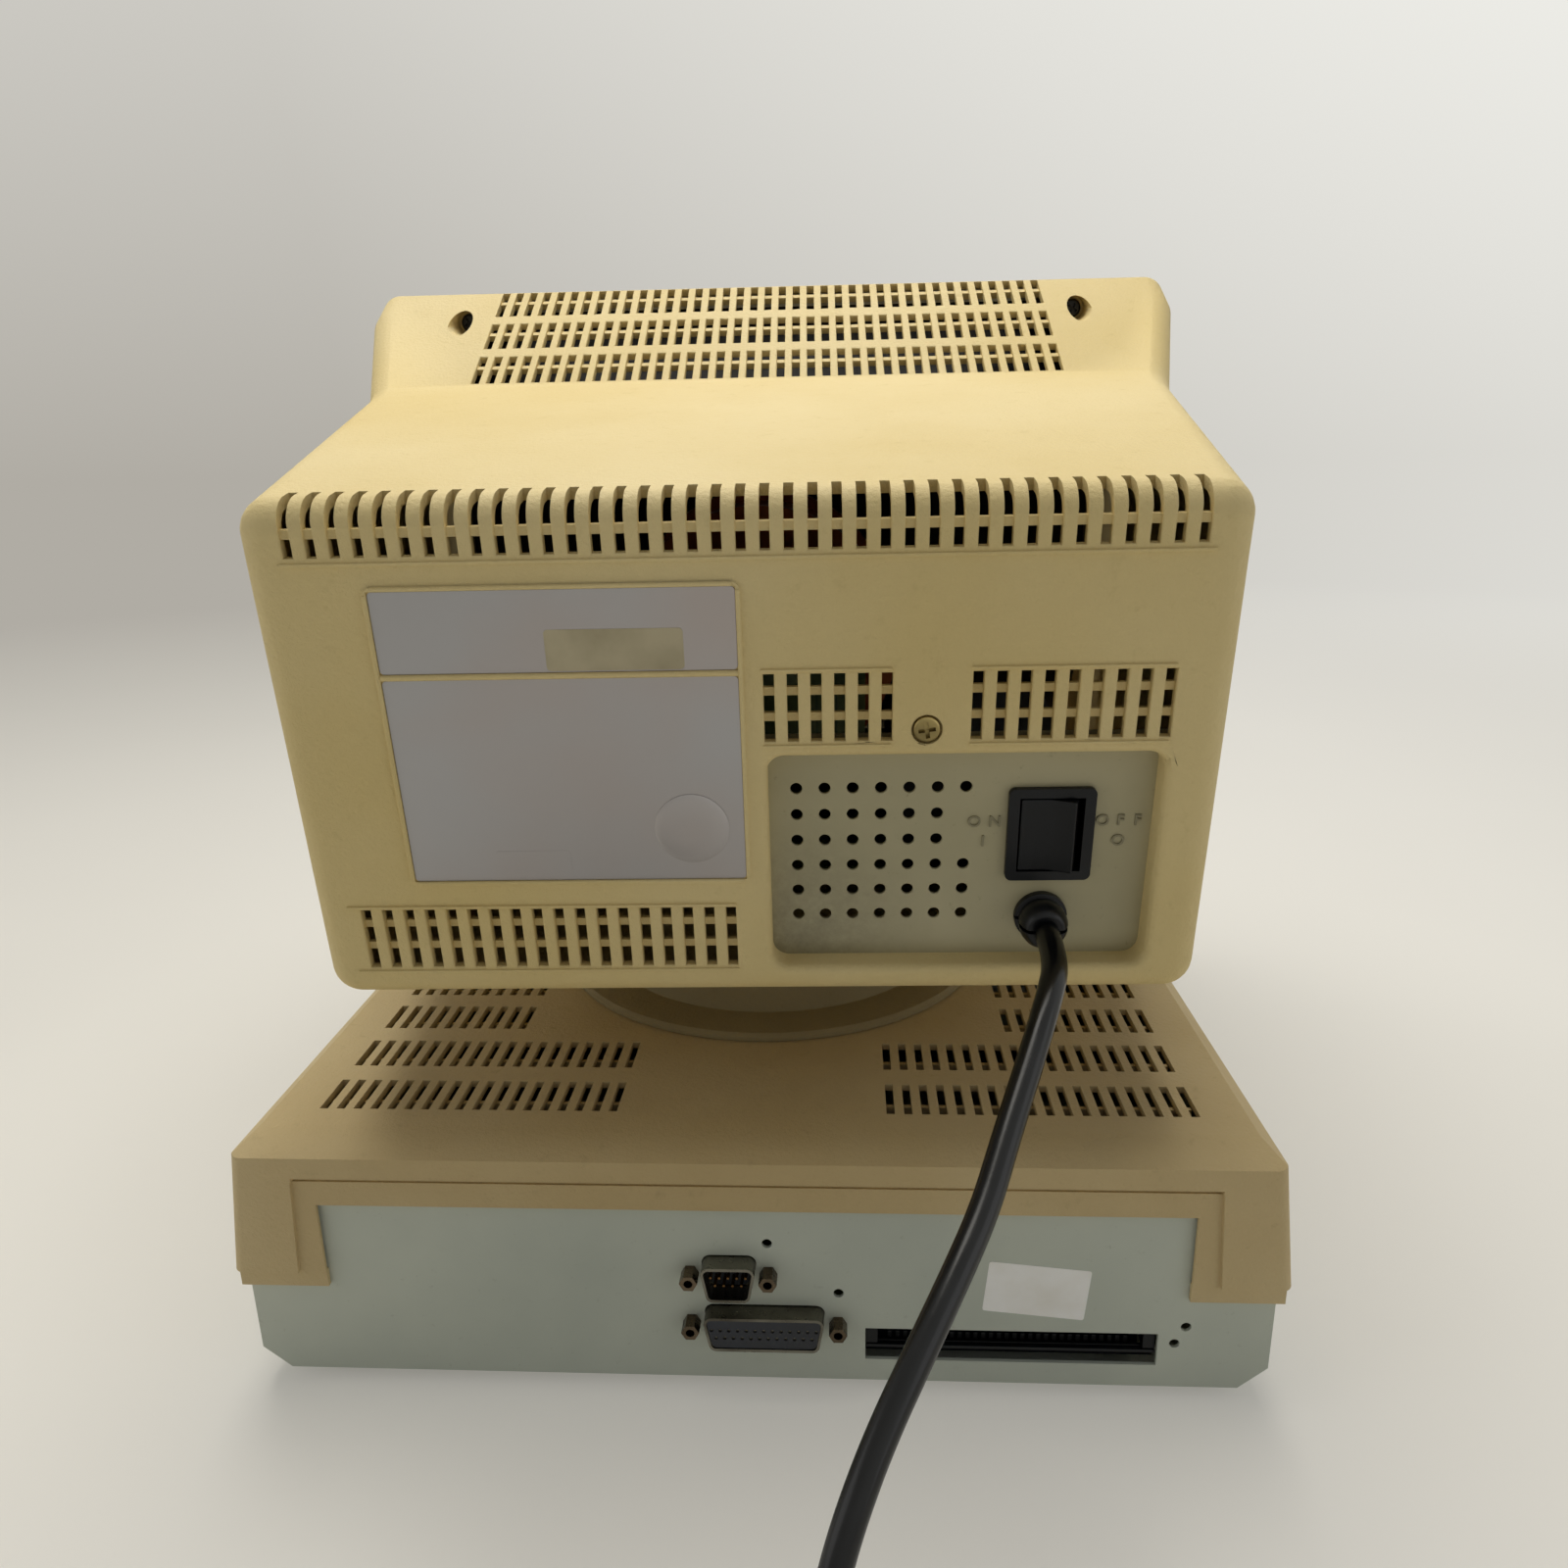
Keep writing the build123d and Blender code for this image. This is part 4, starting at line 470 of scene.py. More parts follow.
class Finishes:
    """Every material of the object, each made once."""

    def __init__(self) -> None:
        """Builds the materials."""
        # Yellowed cream ABS of the monitor's rear housing: dull, pebbled, warm.
        self.housing = MouldedAbs("abs_housing_yellowed", "DECB96", "D6C083", "A8925C").make()
        # The system unit's cover is browner and less yellowed than the monitor.
        self.cover = MouldedAbs("abs_cover_tan", "CDB98C", "BFA878", "8F7D57", dust=0.35).make()
        # Front mouldings are finer grained.
        self.front = MouldedAbs("abs_front_cream", "D8C696", "CDB885", "A08C60", grain=0.8,
                                grain_depth=0.1).make()
        # The stand's plastic is painted darker than the cover's: painted shade under the monitor.
        self.stand = MouldedAbs("abs_stand_tan_shaded", "9C8D66", "91825B", "6E6042").make()
        # Grey-green satin paint on the steel pan.
        self.pan = PaintedSteel("painted_steel_grey_green", "C3C8B8", "B4BAAC", "8C8C78").make()
        # Yellow-grey paint on the power panel, with dirt and painted shade round its lower corner beside the
        # plates.
        self.panel = PaintedSteel("painted_steel_power_panel", "B5AD8A", "A79F7B", "4A422B",
                                  dirt_and_shade_middle=(-12.0, 128.0, 140.0), dirt_and_shade_reach=50.0).make()
        # The raised marks take a darker copy of the panel's paint: painted shade for their dark outlines.
        self.mark = PaintedSteel("painted_steel_marks_shaded", "8F8A6C", "827B5E", "4A422B").make()
        # Tarnished tin on the ports' shells and on their hexagonal nuts.
        self.shell = PlatedMetal("tarnished_tin_shell", "7A776C", "4E4A41").make()
        self.nut = PlatedMetal("tarnished_jack_nut", "6A5D4C", "3E362B", 0.28).make()
        # Zinc-plated steel: bright with a dull bloom.
        self.steel = PlatedMetal("zinc_plated_steel", "B9B7AE", "8F8A7C", 0.34).make()
        # Yellow-passivated screw head.
        self.screw = PlatedMetal("passivated_screw", "B5A26A", "6E6242", 0.38).make()
        # Blackened screws deep in their wells.
        self.dark_steel = PlatedMetal("blackened_steel", "3A3936", "232220", 0.42).make()
        # Satin anodised foil of the bare rating plates, with fine upright lines.
        self.foil = PlatedMetal("satin_anodised_foil", "A3A2A3", "A59A94", 0.4, (1.0, 1.0, 12.0), 1.429,
                                scratch_depth=0.004, cloud=90.91, unevenness=0.03).make()
        # Bright tinned brass of the plug's prongs, and brass of the serial port's pins, gone brown.
        self.brass = PlatedMetal("tinned_brass", "C9B47A", "9C8654").make()
        self.dull_brass = PlatedMetal("tarnished_contact_brass", "7A5A34", "4A3622", 0.4).make()
        # Enamelled wire of the coils, red-brown, with its turns side by side.
        self.copper = PlatedMetal("enamelled_copper_wire", "A8603A", "7A3F24", 0.35, (1.0, 60.0, 1.0),
                                  33.33).make()
        # Glossy black PVC of the mains lead.
        self.sheath = SmoothMoulding("black_pvc_sheath", "060708", "0E0F11", 0.22, 2.0, shine=0.3).make()
        # Black nylon of the switch and bushing.
        self.black = SmoothMoulding("black_nylon", "07090C", "101317", 0.3, shine=0.25).make()
        # Dark grey mouldings of knobs, flaps and cases inside.
        self.grey = SmoothMoulding("dark_grey_moulding", "2B2C2C", "3A3A38", 0.45).make()
        # Blue-black insert of the ports.
        self.insert = SmoothMoulding("blue_black_insert", "0E141E", "1A2230").make()
        # Matt rubber of the feet.
        self.rubber = SmoothMoulding("black_rubber_foot", "1A1A19", "2C2B29", 0.75, 0.5, 0.06).make()
        # Green plastic of the lamp, unlit and glossy.
        self.lamp = SmoothMoulding("green_lamp_lens", "3E7D3A", "2F6A30", 0.15).make()
        # Graphite coating on the tube's funnel.
        self.graphite = SmoothMoulding("graphite_coating", "242424", "333230", 0.6, 1.2, 0.05).make()
        # Green laminate with paler tracks.
        self.board = CircuitLaminate("circuit_laminate", "5E7347", "7C8A52").make()
        # Thick glass of the picture tube: dark, polished and a little smeared.
        self.glass = PictureGlass("picture_tube_glass", "3B3F3A", "2B2E2B").make()
        # White paper, and the paper on the plate, gone beige.
        self.sticker = PaperSticker("white_sticker_paper", "FBFAF4", "F1EEE3").make()
        self.beige_sticker = PaperSticker("beige_sticker_paper", "BDB292", "A69B7C").make()


@dataclass(frozen=True)
class Fitting:
    """The body that a piece rides on, its finish, and the record's material slot of that finish."""

    body: Body
    material: Material
    slot: str


# Modelling by hand

def clear_selection() -> None:
    """Goes to object mode with nothing selected."""
    if bpy.context.object is not None and bpy.context.object.mode != "OBJECT":
        bpy.ops.object.mode_set(mode="OBJECT")
    bpy.ops.object.select_all(action="DESELECT")


def hold(piece: Piece) -> None:
    """Makes a piece the only one selected, and the active one.

    Args:
        piece: The piece.
    """
    clear_selection()
    piece.select_set(True)
    bpy.context.view_layer.objects.active = piece


def named(name: str) -> Piece:
    """Names the active piece and its data.

    Args:
        name: Its name.

    Returns:
        The active piece.
    """
    piece = bpy.context.object
    piece.name = name
    piece.data.name = name
    return piece


def new_object(name: str, data: bpy.types.ID) -> Piece:
    """Puts an object with its data into the scene.

    Args:
        name: Its name.
        data: Its mesh, curve, lamp or camera.

    Returns:
        The object.
    """
    made = bpy.data.objects.new(name, data)
    bpy.context.scene.collection.objects.link(made)
    return made


def add_block(name: str, low: Sequence[float], high: Sequence[float]) -> Piece:
    """Adds a block between two corners, in millimetres.

    Args:
        name: Its name.
        low: Its lowest corner.
        high: Its highest corner.

    Returns:
        The block, with its size in its mesh.
    """
    clear_selection()
    middle = [(a + b) / 2 * MM for a, b in zip(low, high)]
    bpy.ops.mesh.primitive_cube_add(size=1, location=middle)
    piece = named(name)
    piece.scale = [abs(b - a) * MM for a, b in zip(low, high)]
    bpy.ops.object.transform_apply(location=True, rotation=True, scale=True)
    return piece


def add_round(name: str, centre: Triple, radius: float, length: float, sides: int) -> Piece:
    """Adds a round bar that points to the rear, in millimetres.

    Args:
        name: Its name.
        centre: Its middle.
        radius: Its radius.
        length: Its length.
        sides: How many flat sides stand for its round.

    Returns:
        The bar, with its place in its mesh.
    """
    clear_selection()
    bpy.ops.mesh.primitive_cylinder_add(vertices=sides, radius=radius * MM, depth=length * MM,
                                        location=[way * MM for way in centre], rotation=TO_REAR)
    piece = named(name)
    bpy.ops.object.transform_apply(location=True, rotation=True, scale=True)
    return piece


def open_with(piece: Piece, pick: Pick, test: Callable[..., bool]) -> None:
    """Opens a piece in edit mode with only those corners, edges or faces selected that pass a test.

    Args:
        piece: The piece.
        pick: What is selected.
        test: Takes a corner, an edge or a face.
    """
    hold(piece)
    bpy.context.tool_settings.mesh_select_mode = pick.value
    for parts, wanted in zip((piece.data.vertices, piece.data.edges, piece.data.polygons), pick.value):
        for part in parts:
            part.select = wanted and test(part)
    bpy.ops.object.mode_set(mode="EDIT")


def open_end(piece: Piece) -> None:
    """Opens a piece in edit mode with its rearmost face selected."""
    rear = max(face.center.y for face in piece.data.polygons)
    open_with(piece, Pick.FACES, lambda face: face.center.y > rear - LEVEL and face.normal.y > 0.9)


def shift_corners(piece: Piece, test: Callable[[Vector], bool], shift: Vector) -> None:
    """Moves some corners of a piece.

    Args:
        piece: The piece.
        test: Takes the place of a corner.
        shift: How far the corners that pass it move, in metres.
    """
    open_with(piece, Pick.CORNERS, lambda corner: test(corner.co))
    bpy.ops.transform.translate(value=shift)
    bpy.ops.object.mode_set(mode="OBJECT")


def round_corners(piece: Piece, radius: float, segments: int) -> None:
    """Rounds the four edges of a block that run to the rear.

    Args:
        piece: The block.
        radius: The corners' radius, in millimetres.
        segments: Steps round each corner.
    """
    corners = piece.data.vertices
    open_with(piece, Pick.EDGES,
              lambda edge: abs(corners[edge.vertices[0]].co.y - corners[edge.vertices[1]].co.y) > LEVEL)
    bpy.ops.mesh.bevel(offset=radius * MM, segments=segments, affect="EDGES")
    bpy.ops.object.mode_set(mode="OBJECT")


def sharp_edges(piece: Piece) -> set[int]:
    """Finds the edges where two faces meet sharply.

    Args:
        piece: The piece.

    Returns:
        The numbers of those edges.
    """
    normals: dict[tuple[int, int], list[Vector]] = {}
    for face in piece.data.polygons:
        for key in face.edge_keys:
            normals.setdefault(key, []).append(face.normal)
    return {edge.index for edge in piece.data.edges
            if len(normals.get(edge.key, ())) == 2
            and normals[edge.key][0].angle(normals[edge.key][1], 0.0) > math.radians(SHARP)}


def round_edges(piece: Piece, test: Callable[[Vector], bool], width: float, segments: int = 2) -> None:
    """Rounds only the sharp edges of a piece whose two ends pass a test.

    Args:
        piece: The piece.
        test: Takes the place of an end.
        width: How far the rounding reaches, in millimetres.
        segments: Steps across the rounding.
    """
    corners = piece.data.vertices
    sharp = sharp_edges(piece)
    chosen = {edge.index for edge in piece.data.edges
              if edge.index in sharp and all(test(corners[end].co) for end in edge.vertices)}
    open_with(piece, Pick.EDGES, lambda edge: edge.index in chosen)
    bpy.ops.mesh.bevel(offset=width * MM, segments=segments, affect="EDGES", clamp_overlap=False)
    bpy.ops.object.mode_set(mode="OBJECT")
    LOG.info("rounded %d edges of %s by %.2f mm", len(chosen), piece.name, width)


def apply_modifiers(piece: Piece) -> None:
    """Applies every modifier of a piece, in order.

    Args:
        piece: The piece.
    """
    hold(piece)
    for modifier in list(piece.modifiers):
        bpy.ops.object.modifier_apply(modifier=modifier.name)


def soften(piece: Piece, width: float, segments: int = 2, angle: float = 35.0, clamp: bool = True) -> None:
    """Rounds the edges of a piece.

    Args:
        piece: The piece.
        width: How far the rounding reaches from each edge, in millimetres.
        segments: Steps across the rounding.
        angle: Edges flatter than this stay as they are.
        clamp: Whether the rounding is kept inside the piece's shortest edges.
    """
    bevel = piece.modifiers.new("soft_edges", "BEVEL")
    bevel.width = width * MM
    bevel.segments = segments
    bevel.limit_method = "ANGLE"
    bevel.angle_limit = math.radians(angle)
    bevel.use_clamp_overlap = clamp
    apply_modifiers(piece)


def smooth(piece: Piece, angle: float) -> None:
    """Shades a piece smooth across edges flatter than an angle, with its large flat faces kept flat.

    Args:
        piece: The piece.
        angle: The angle, in degrees.
    """
    hold(piece)
    bpy.ops.object.shade_smooth_by_angle(angle=math.radians(angle))
    even = piece.modifiers.new("even_shading", "WEIGHTED_NORMAL")
    even.keep_sharp = True
    even.weight = 100
    apply_modifiers(piece)


def cut(piece: Piece, tool: Piece) -> None:
    """Takes the shape of a tool out of a piece, and throws the tool away.

    Args:
        piece: The piece.
        tool: The tool.
    """
    taken = piece.modifiers.new("cut", "BOOLEAN")
    taken.operation = "DIFFERENCE"
    taken.object = tool
    taken.solver = "EXACT"
    apply_modifiers(piece)
    bpy.data.objects.remove(tool)


def merge(name: str, pieces: Sequence[Piece]) -> Piece:
    """Joins pieces into the first of them.

    Args:
        name: The joined piece's name.
        pieces: The pieces.

    Returns:
        The joined piece.
    """
    clear_selection()
    for piece in pieces:
        piece.select_set(True)
    bpy.context.view_layer.objects.active = pieces[0]
    bpy.ops.object.join()
    return named(name)


def finish_piece(piece: Piece, fitting: Fitting, place: Matrix = UNIT, angle: float = 32.0) -> Piece:
    """Puts a finished mesh at its place, dresses it and sets it on its body.

    Args:
        piece: The mesh object.
        fitting: Its body, finish and slot.
        place: Where the frame lies that the piece was drawn in.
        angle: Edges flatter than this are shaded smooth.

    Returns:
        The piece.
    """
    piece.data.transform(place)
    piece.matrix_world = UNIT
    piece.data.materials.clear()
    piece.data.materials.append(fitting.material)
    smooth(piece, angle)
    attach(piece, fitting.body.value)
    LOG.info("made %s on %s", piece.name, fitting.body.value)
    return piece


def add_strip(name: str, low: Triple, high: Triple, width: float, segments: int, fitting: Fitting,
              place: Matrix = UNIT) -> None:
    """Builds a plain strip with rounded edges.

    Args:
        name: Its name.
        low: Its lowest corner.
        high: Its highest corner.
        width: How far the rounding reaches from each edge.
        segments: Steps across the rounding.
        fitting: Its body, finish and slot.
        place: Where the frame lies that the strip is drawn in.
    """
    strip = add_block(name, low, high)
    soften(strip, width, segments)
    finish_piece(strip, fitting, place)


def dress(material: Material, *nodes: str) -> None:
    """Gives CAD nodes a finish.

    Args:
        material: The finish.
        nodes: The nodes' names.
    """
    for node in nodes:
        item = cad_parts[node]
        if not item.material_slots:
            item.data.materials.append(material)
        for held in item.material_slots:
            held.material = material
        LOG.info("dressed %s", node)


def softened_copy(node: str, fitting: Fitting, width: float, segments: int = 2, angle: float = 35.0,
                  shape: Optional[Callable[[Piece], None]] = None, clamp: bool = True) -> Piece:
    """Stands a copy of a CAD node in its place, with its edges rounded as the mould left them.

    Args:
        node: The CAD node.
        fitting: The copy's body, finish and slot.
        width: How far the rounding reaches from each edge, in millimetres, or 0 for none.
        segments: Steps across the rounding.
        angle: Edges flatter than this stay as they are.
        shape: What else is done to the merged copy before its edges are rounded.
        clamp: Whether the rounding is kept inside the copy's shortest edges.

    Returns:
        The copy.
    """
    copy = new_object("soft_" + node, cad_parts[node].data.copy())
    open_with(copy, Pick.FACES, lambda face: True)
    bpy.ops.mesh.remove_doubles(threshold=SAME_PLACE)
    bpy.ops.mesh.dissolve_limited(angle_limit=math.radians(FLAT))
    bpy.ops.object.mode_set(mode="OBJECT")
    if shape is not None:
        shape(copy)
    if width > 0:
        soften(copy, width, segments, angle, clamp)
    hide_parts(node)
    return finish_piece(copy, fitting)


# The room

@dataclass
class Studio:
    """Floor, soft light and the camera at the photograph's angle, with its places in metres."""

    camera_place: Triple = (-0.03012, 0.44261, 0.28616)
    forward: Triple = (0.05321, -0.95968, -0.276)
    right: Triple = (-0.99857, -0.04956, -0.02019)
    lens: float = 25.38
    desk_height: float = -0.004
    desk_radius: float = 6.0
    # Size of the desk's clouds, in millimetres.
    desk_cloud: float = 333.3
    # How far from the object the desk's glow and then the wall's colour come in.
    glow_reach: Pair = (0.3, 2.4)
    wall_reach: Pair = (0.5, 2.6)
    # Each lamp's name, place, aim, side, power and colour.
    lamps: tuple[tuple[str, Triple, Triple, float, float, str], ...] = (
        ("lamp_over_far_side", (0.1, -0.35, 1.5), (0.0, 0.0, 0.2), 1.1, 20.5, "FFFBF2"),
        ("lamp_left", (1.6, 0.5, 0.6), (0.0, 0.1, 0.1), 1.2, 4.0, "FFFFFF"),
        ("lamp_right", (-1.6, 0.8, 0.5), (0.0, 0.1, 0.1), 1.4, 4.0, "F8F9FF"))

    def build(self) -> None:
        """Builds the camera, the floor, the world and the lamps."""
        bpy.context.scene.view_settings.view_transform = "Standard"
        self.add_camera()
        self.add_floor()
        self.add_world()
        for name, place, aim, side, power, colour in self.lamps:
            data = bpy.data.lights.new(name, "AREA")
            data.size = side
            data.energy = power
            data.color = linear(colour)[:3]
            lamp = new_object(name, data)
            lamp.location = place
            lamp.rotation_euler = (Vector(aim) - Vector(place)).to_track_quat("-Z", "Y").to_euler()

    def add_camera(self) -> None:
        """Sets the camera where the photograph was taken from."""
        data = bpy.data.cameras.new("view_camera")
        data.lens = self.lens
        data.sensor_width = 36.0
        data.clip_start = 0.01
        camera = new_object("view_camera", data)
        ahead = Vector(self.forward).normalized()
        right = Vector(self.right)
        right = (right - ahead * right.dot(ahead)).normalized()
        turn = Matrix((right, right.cross(ahead), -ahead)).transposed().to_4x4()
        camera.matrix_world = Matrix.Translation(self.camera_place) @ turn
        bpy.context.scene.camera = camera

    def add_floor(self) -> None:
        """Lays a plain pale desk top that fades into the backdrop far away."""
        clear_selection()
        bpy.ops.mesh.primitive_circle_add(vertices=96, radius=self.desk_radius, fill_type="NGON",
                                          location=(0.0, 0.0, self.desk_height))
        floor = named("desk_top")
        bpy.ops.object.transform_apply(location=True)
        material = bpy.data.materials.new("pale_desk_laminate")
        tree = bare_tree(material)
        place = add(tree, "ShaderNodeTexCoord").outputs["Object"]
        cloud = add(tree, "ShaderNodeTexNoise", {
            "Vector": place, "Scale": scale_of(self.desk_cloud), "Detail": 2.0})
        colour = add(tree, "ShaderNodeMix", {0: cloud.outputs[0], 6: linear("E9E7E1"), 7: linear("E2E0DA")},
                     data_type="RGBA")
        shader = add(tree, "ShaderNodeBsdfPrincipled", {"Base Color": colour.outputs[2], "Roughness": 0.55})
        # Away from the object the desk glows in its own colour, paler toward one side.
        away = add(tree, "ShaderNodeVectorMath", {0: place}, operation="LENGTH")
        glow_start, glow_end = self.glow_reach
        far = add(tree, "ShaderNodeMapRange", {0: away.outputs["Value"], 1: glow_start, 2: glow_end, 3: 0.3},
                  interpolation_type="SMOOTHSTEP")
        share = add(tree, "ShaderNodeMath", {0: far.outputs[0], 1: self.seen_rays(tree, "Is Glossy Ray")},
                    operation="MULTIPLY")
        side = add(tree, "ShaderNodeSeparateXYZ", {0: place})
        paler = add(tree, "ShaderNodeMapRange", {0: side.outputs[0], 1: 0.5, 2: -0.5})
        near = add(tree, "ShaderNodeMix", {0: paler.outputs[0], 6: linear("D6D2C7"), 7: linear("F4F1E8")},
                   data_type="RGBA")
        # Far away it takes the wall's colour behind it, so that no edge shows in the main picture.
        gaze = add(tree, "ShaderNodeVectorMath", {0: place, 1: self.camera_place}, operation="SUBTRACT")
        gaze = add(tree, "ShaderNodeVectorMath", {0: gaze.outputs[0]}, operation="NORMALIZE")
        wall_start, wall_end = self.wall_reach
        fade = add(tree, "ShaderNodeMapRange", {0: away.outputs["Value"], 1: wall_start, 2: wall_end},
                   interpolation_type="SMOOTHSTEP")
        glow = add(tree, "ShaderNodeMix", {0: fade.outputs[0], 6: near.outputs[2],
                                           7: self.wall_colour(tree, gaze.outputs[0])}, data_type="RGBA")
        lit = add(tree, "ShaderNodeEmission", {"Color": glow.outputs[2], "Strength": 1.0})
        mixed = add(tree, "ShaderNodeMixShader", {
            0: share.outputs[0], 1: shader.outputs[0], 2: lit.outputs[0]})
        add(tree, "ShaderNodeOutputMaterial", {0: mixed.outputs[0]})
        floor.data.materials.append(material)

    def add_world(self) -> None:
        """Lights the room evenly, and shows a pale backdrop to the camera, in gloss and through glass."""
        world = bpy.data.worlds.new("pale_room")
        bpy.context.scene.world = world
        tree = bare_tree(world)
        rays = self.seen_rays(tree, "Is Glossy Ray", "Is Transmission Ray")
        even = add(tree, "ShaderNodeBackground", {"Color": linear("F3F4F6"), "Strength": 0.2})
        wall = self.wall_colour(tree, add(tree, "ShaderNodeTexCoord").outputs["Generated"])
        backdrop = add(tree, "ShaderNodeBackground", {"Color": wall, "Strength": 1.0})
        mixed = add(tree, "ShaderNodeMixShader", {0: rays, 1: even.outputs[0], 2: backdrop.outputs[0]})
        add(tree, "ShaderNodeOutputWorld", {0: mixed.outputs[0]})

    def seen_rays(self, tree: Tree, *kinds: str) -> Socket:
        """Tells the rays that are seen from those that light the object.

        Args:
            tree: The node tree.
            kinds: The rays that count as seen beside the camera's own.

        Returns:
            The output that is 1 for such a ray and 0 for others.
        """
        path = add(tree, "ShaderNodeLightPath")
        share = path.outputs["Is Camera Ray"]
        for kind in kinds:
            either = add(tree, "ShaderNodeMath", {0: share, 1: path.outputs[kind]}, operation="MAXIMUM")
            share = either.outputs[0]
        return share

    def wall_colour(self, tree: Tree, gaze: Socket) -> Socket:
        """Colours the wall, which grows paler toward the picture's right and upward.

        Args:
            tree: The node tree.
            gaze: The direction of view.

        Returns:
            The colour's output.
        """
        ways = add(tree, "ShaderNodeSeparateXYZ", {0: gaze})
        across = add(tree, "ShaderNodeMapRange", {0: ways.outputs[0], 1: 0.4, 2: -0.55, 3: 0.0, 4: 0.5})
        upward = add(tree, "ShaderNodeMapRange", {0: ways.outputs[2], 1: 0.0, 2: 0.4, 3: 0.0, 4: 0.38})
        share = add(tree, "ShaderNodeMath", {0: across.outputs[0], 1: upward.outputs[0]}, operation="ADD")
        return add(tree, "ShaderNodeMix", {0: share.outputs[0], 6: linear("B0ACA4"), 7: linear("FFFFFA")},
                   data_type="RGBA").outputs[2]


# The mains lead

@dataclass
class MainsLead:
    """Moulded mains lead from the bushing down to the desk, its wound length and its plug."""

    finishes: Finishes
    diameter: float = 7.5
    length: float = 1.866
    outer_radius: float = 51.0
    turn_gap: float = 0.6
    points_per_turn: int = 16
    lower_turns: float = 3.0
    climb_turns: float = 0.5
    upper_turns: float = 2.75
    easing_turns: float = 0.25
    tail: float = 28.0
    # The lead's own line down to the desk, in metres.
    route: tuple[Triple, ...] = (
        (-0.09056, 0.13533, 0.15081), (-0.09091, 0.14971, 0.14899), (-0.0866, 0.1635, 0.145),
        (-0.0792, 0.1795, 0.1342), (-0.071, 0.1965, 0.1231), (-0.0639, 0.212, 0.1125),
        (-0.0553, 0.2265, 0.1044), (-0.046, 0.24, 0.0945), (-0.0377, 0.2512, 0.0847),
        (-0.0314, 0.261, 0.075), (-0.0273, 0.2675, 0.0652), (-0.0225, 0.276, 0.0485),
        (-0.0155, 0.2885, 0.0315), (-0.006, 0.303, 0.0155), (0.0046, 0.3196, 0.0036),
        (0.0164, 0.337, -0.00025), (0.0276, 0.3536, -0.00025))

    def coil(self, start: Vector, heading: Vector) -> tuple[list[Vector], Vector, Vector]:
        """Winds the unseen length in a flat coil of two layers, inward below and outward above.

        Args:
            start: Where the route reaches the coil.
            heading: The way it runs there.

        Returns:
            The coil's control points, the place of the plug's end and the way the plug points.
        """
        pitch = (self.diameter + self.turn_gap) * MM
        right = Vector((heading.y, -heading.x, 0.0))
        outer = self.outer_radius * MM
        centre = start + heading * self.diameter * MM + right * outer
        inner = outer - pitch * self.lower_turns
        step = math.tau / self.points_per_turn
        # Control points stand a little outside the round that they draw.
        stand_off = 1 / (0.75 + 0.25 * math.cos(step))
        down = math.tau * self.lower_turns
        climb = math.tau * self.climb_turns
        whole = down + climb + math.tau * self.upper_turns
        points = []
        for number in range(1, round(whole / step) + 1):
            turned = number * step
            if turned <= down:
                radius = outer - pitch * turned / math.tau
                height = 0.0
            elif turned <= down + climb:
                radius = inner
                height = pitch * (turned - down) / climb
            else:
                # The last part eases out to the plug.
                ease = max(0.0, 1.0 - (whole - turned) / (math.tau * self.easing_turns))
                outward = ease * ease * (3 - 2 * ease) / 4
                radius = inner + pitch * ((turned - down - climb) / math.tau + outward)
                height = pitch
            side = right * -math.cos(turned) + heading * math.sin(turned)
            points.append(centre + side * radius * stand_off + Vector((0.0, 0.0, height)))
        ahead = right * math.sin(turned) + heading * math.cos(turned)
        last = centre + side * radius + Vector((0.0, 0.0, height))
        return points, last, ahead

    def build(self) -> None:
        """Builds the lead as one smooth line, and the plug's pieces on it."""
        points = [Vector(point) for point in self.route]
        heading = (points[-1] - points[-2]).normalized()
        turns, last, ahead = self.coil(points[-1], heading)
        tail = ahead * self.tail * MM
        points += turns[:-1] + [last, last + tail / 2, last + tail]
        curve = bpy.data.curves.new("mains_lead", "CURVE")
        curve.dimensions = "3D"
        line = curve.splines.new("NURBS")
        line.points.add(len(points) - 1)
        for control, point in zip(line.points, points):
            control.co = (*point, 1.0)
        line.order_u = 3
        line.use_endpoint_u = True
        curve.resolution_u = 6
        drawn = new_object("mains_lead_line", curve)
        path = self.read_path(drawn)
        curve.bevel_depth = self.diameter / 2 * MM
        curve.bevel_resolution = 5
        curve.use_fill_caps = True
        hold(drawn)
        bpy.ops.object.convert(target="MESH")
        lead = bpy.context.object
        lead.name = "mains_lead"
        lead.data.materials.clear()
        lead.data.materials.append(self.finishes.sheath)
        smooth(lead, 60.0)
        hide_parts("power_cord", "cord_coil")
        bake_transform(lead)
        plug = softened_copy("power_plug", Fitting(Body.STAND, self.finishes.sheath, "cord_sheath"), 0.8, 3)
        prongs = ("blade_left", "blade_right", "earth_pin")
        dress(self.finishes.brass, *prongs)
        LOG.info("made the mains lead with %d control points", len(points))

    def read_path(self, drawn: Piece) -> list[Vector]:
        """Reads the points that a curve without thickness follows.

        Args:
            drawn: The curve's object.

        Returns:
            The points in order.
        """
        bpy.context.view_layer.update()
        flat = bpy.data.meshes.new_from_object(drawn)
        path = [corner.co.copy() for corner in flat.vertices]
        bpy.data.meshes.remove(flat)
        return path


# Screws

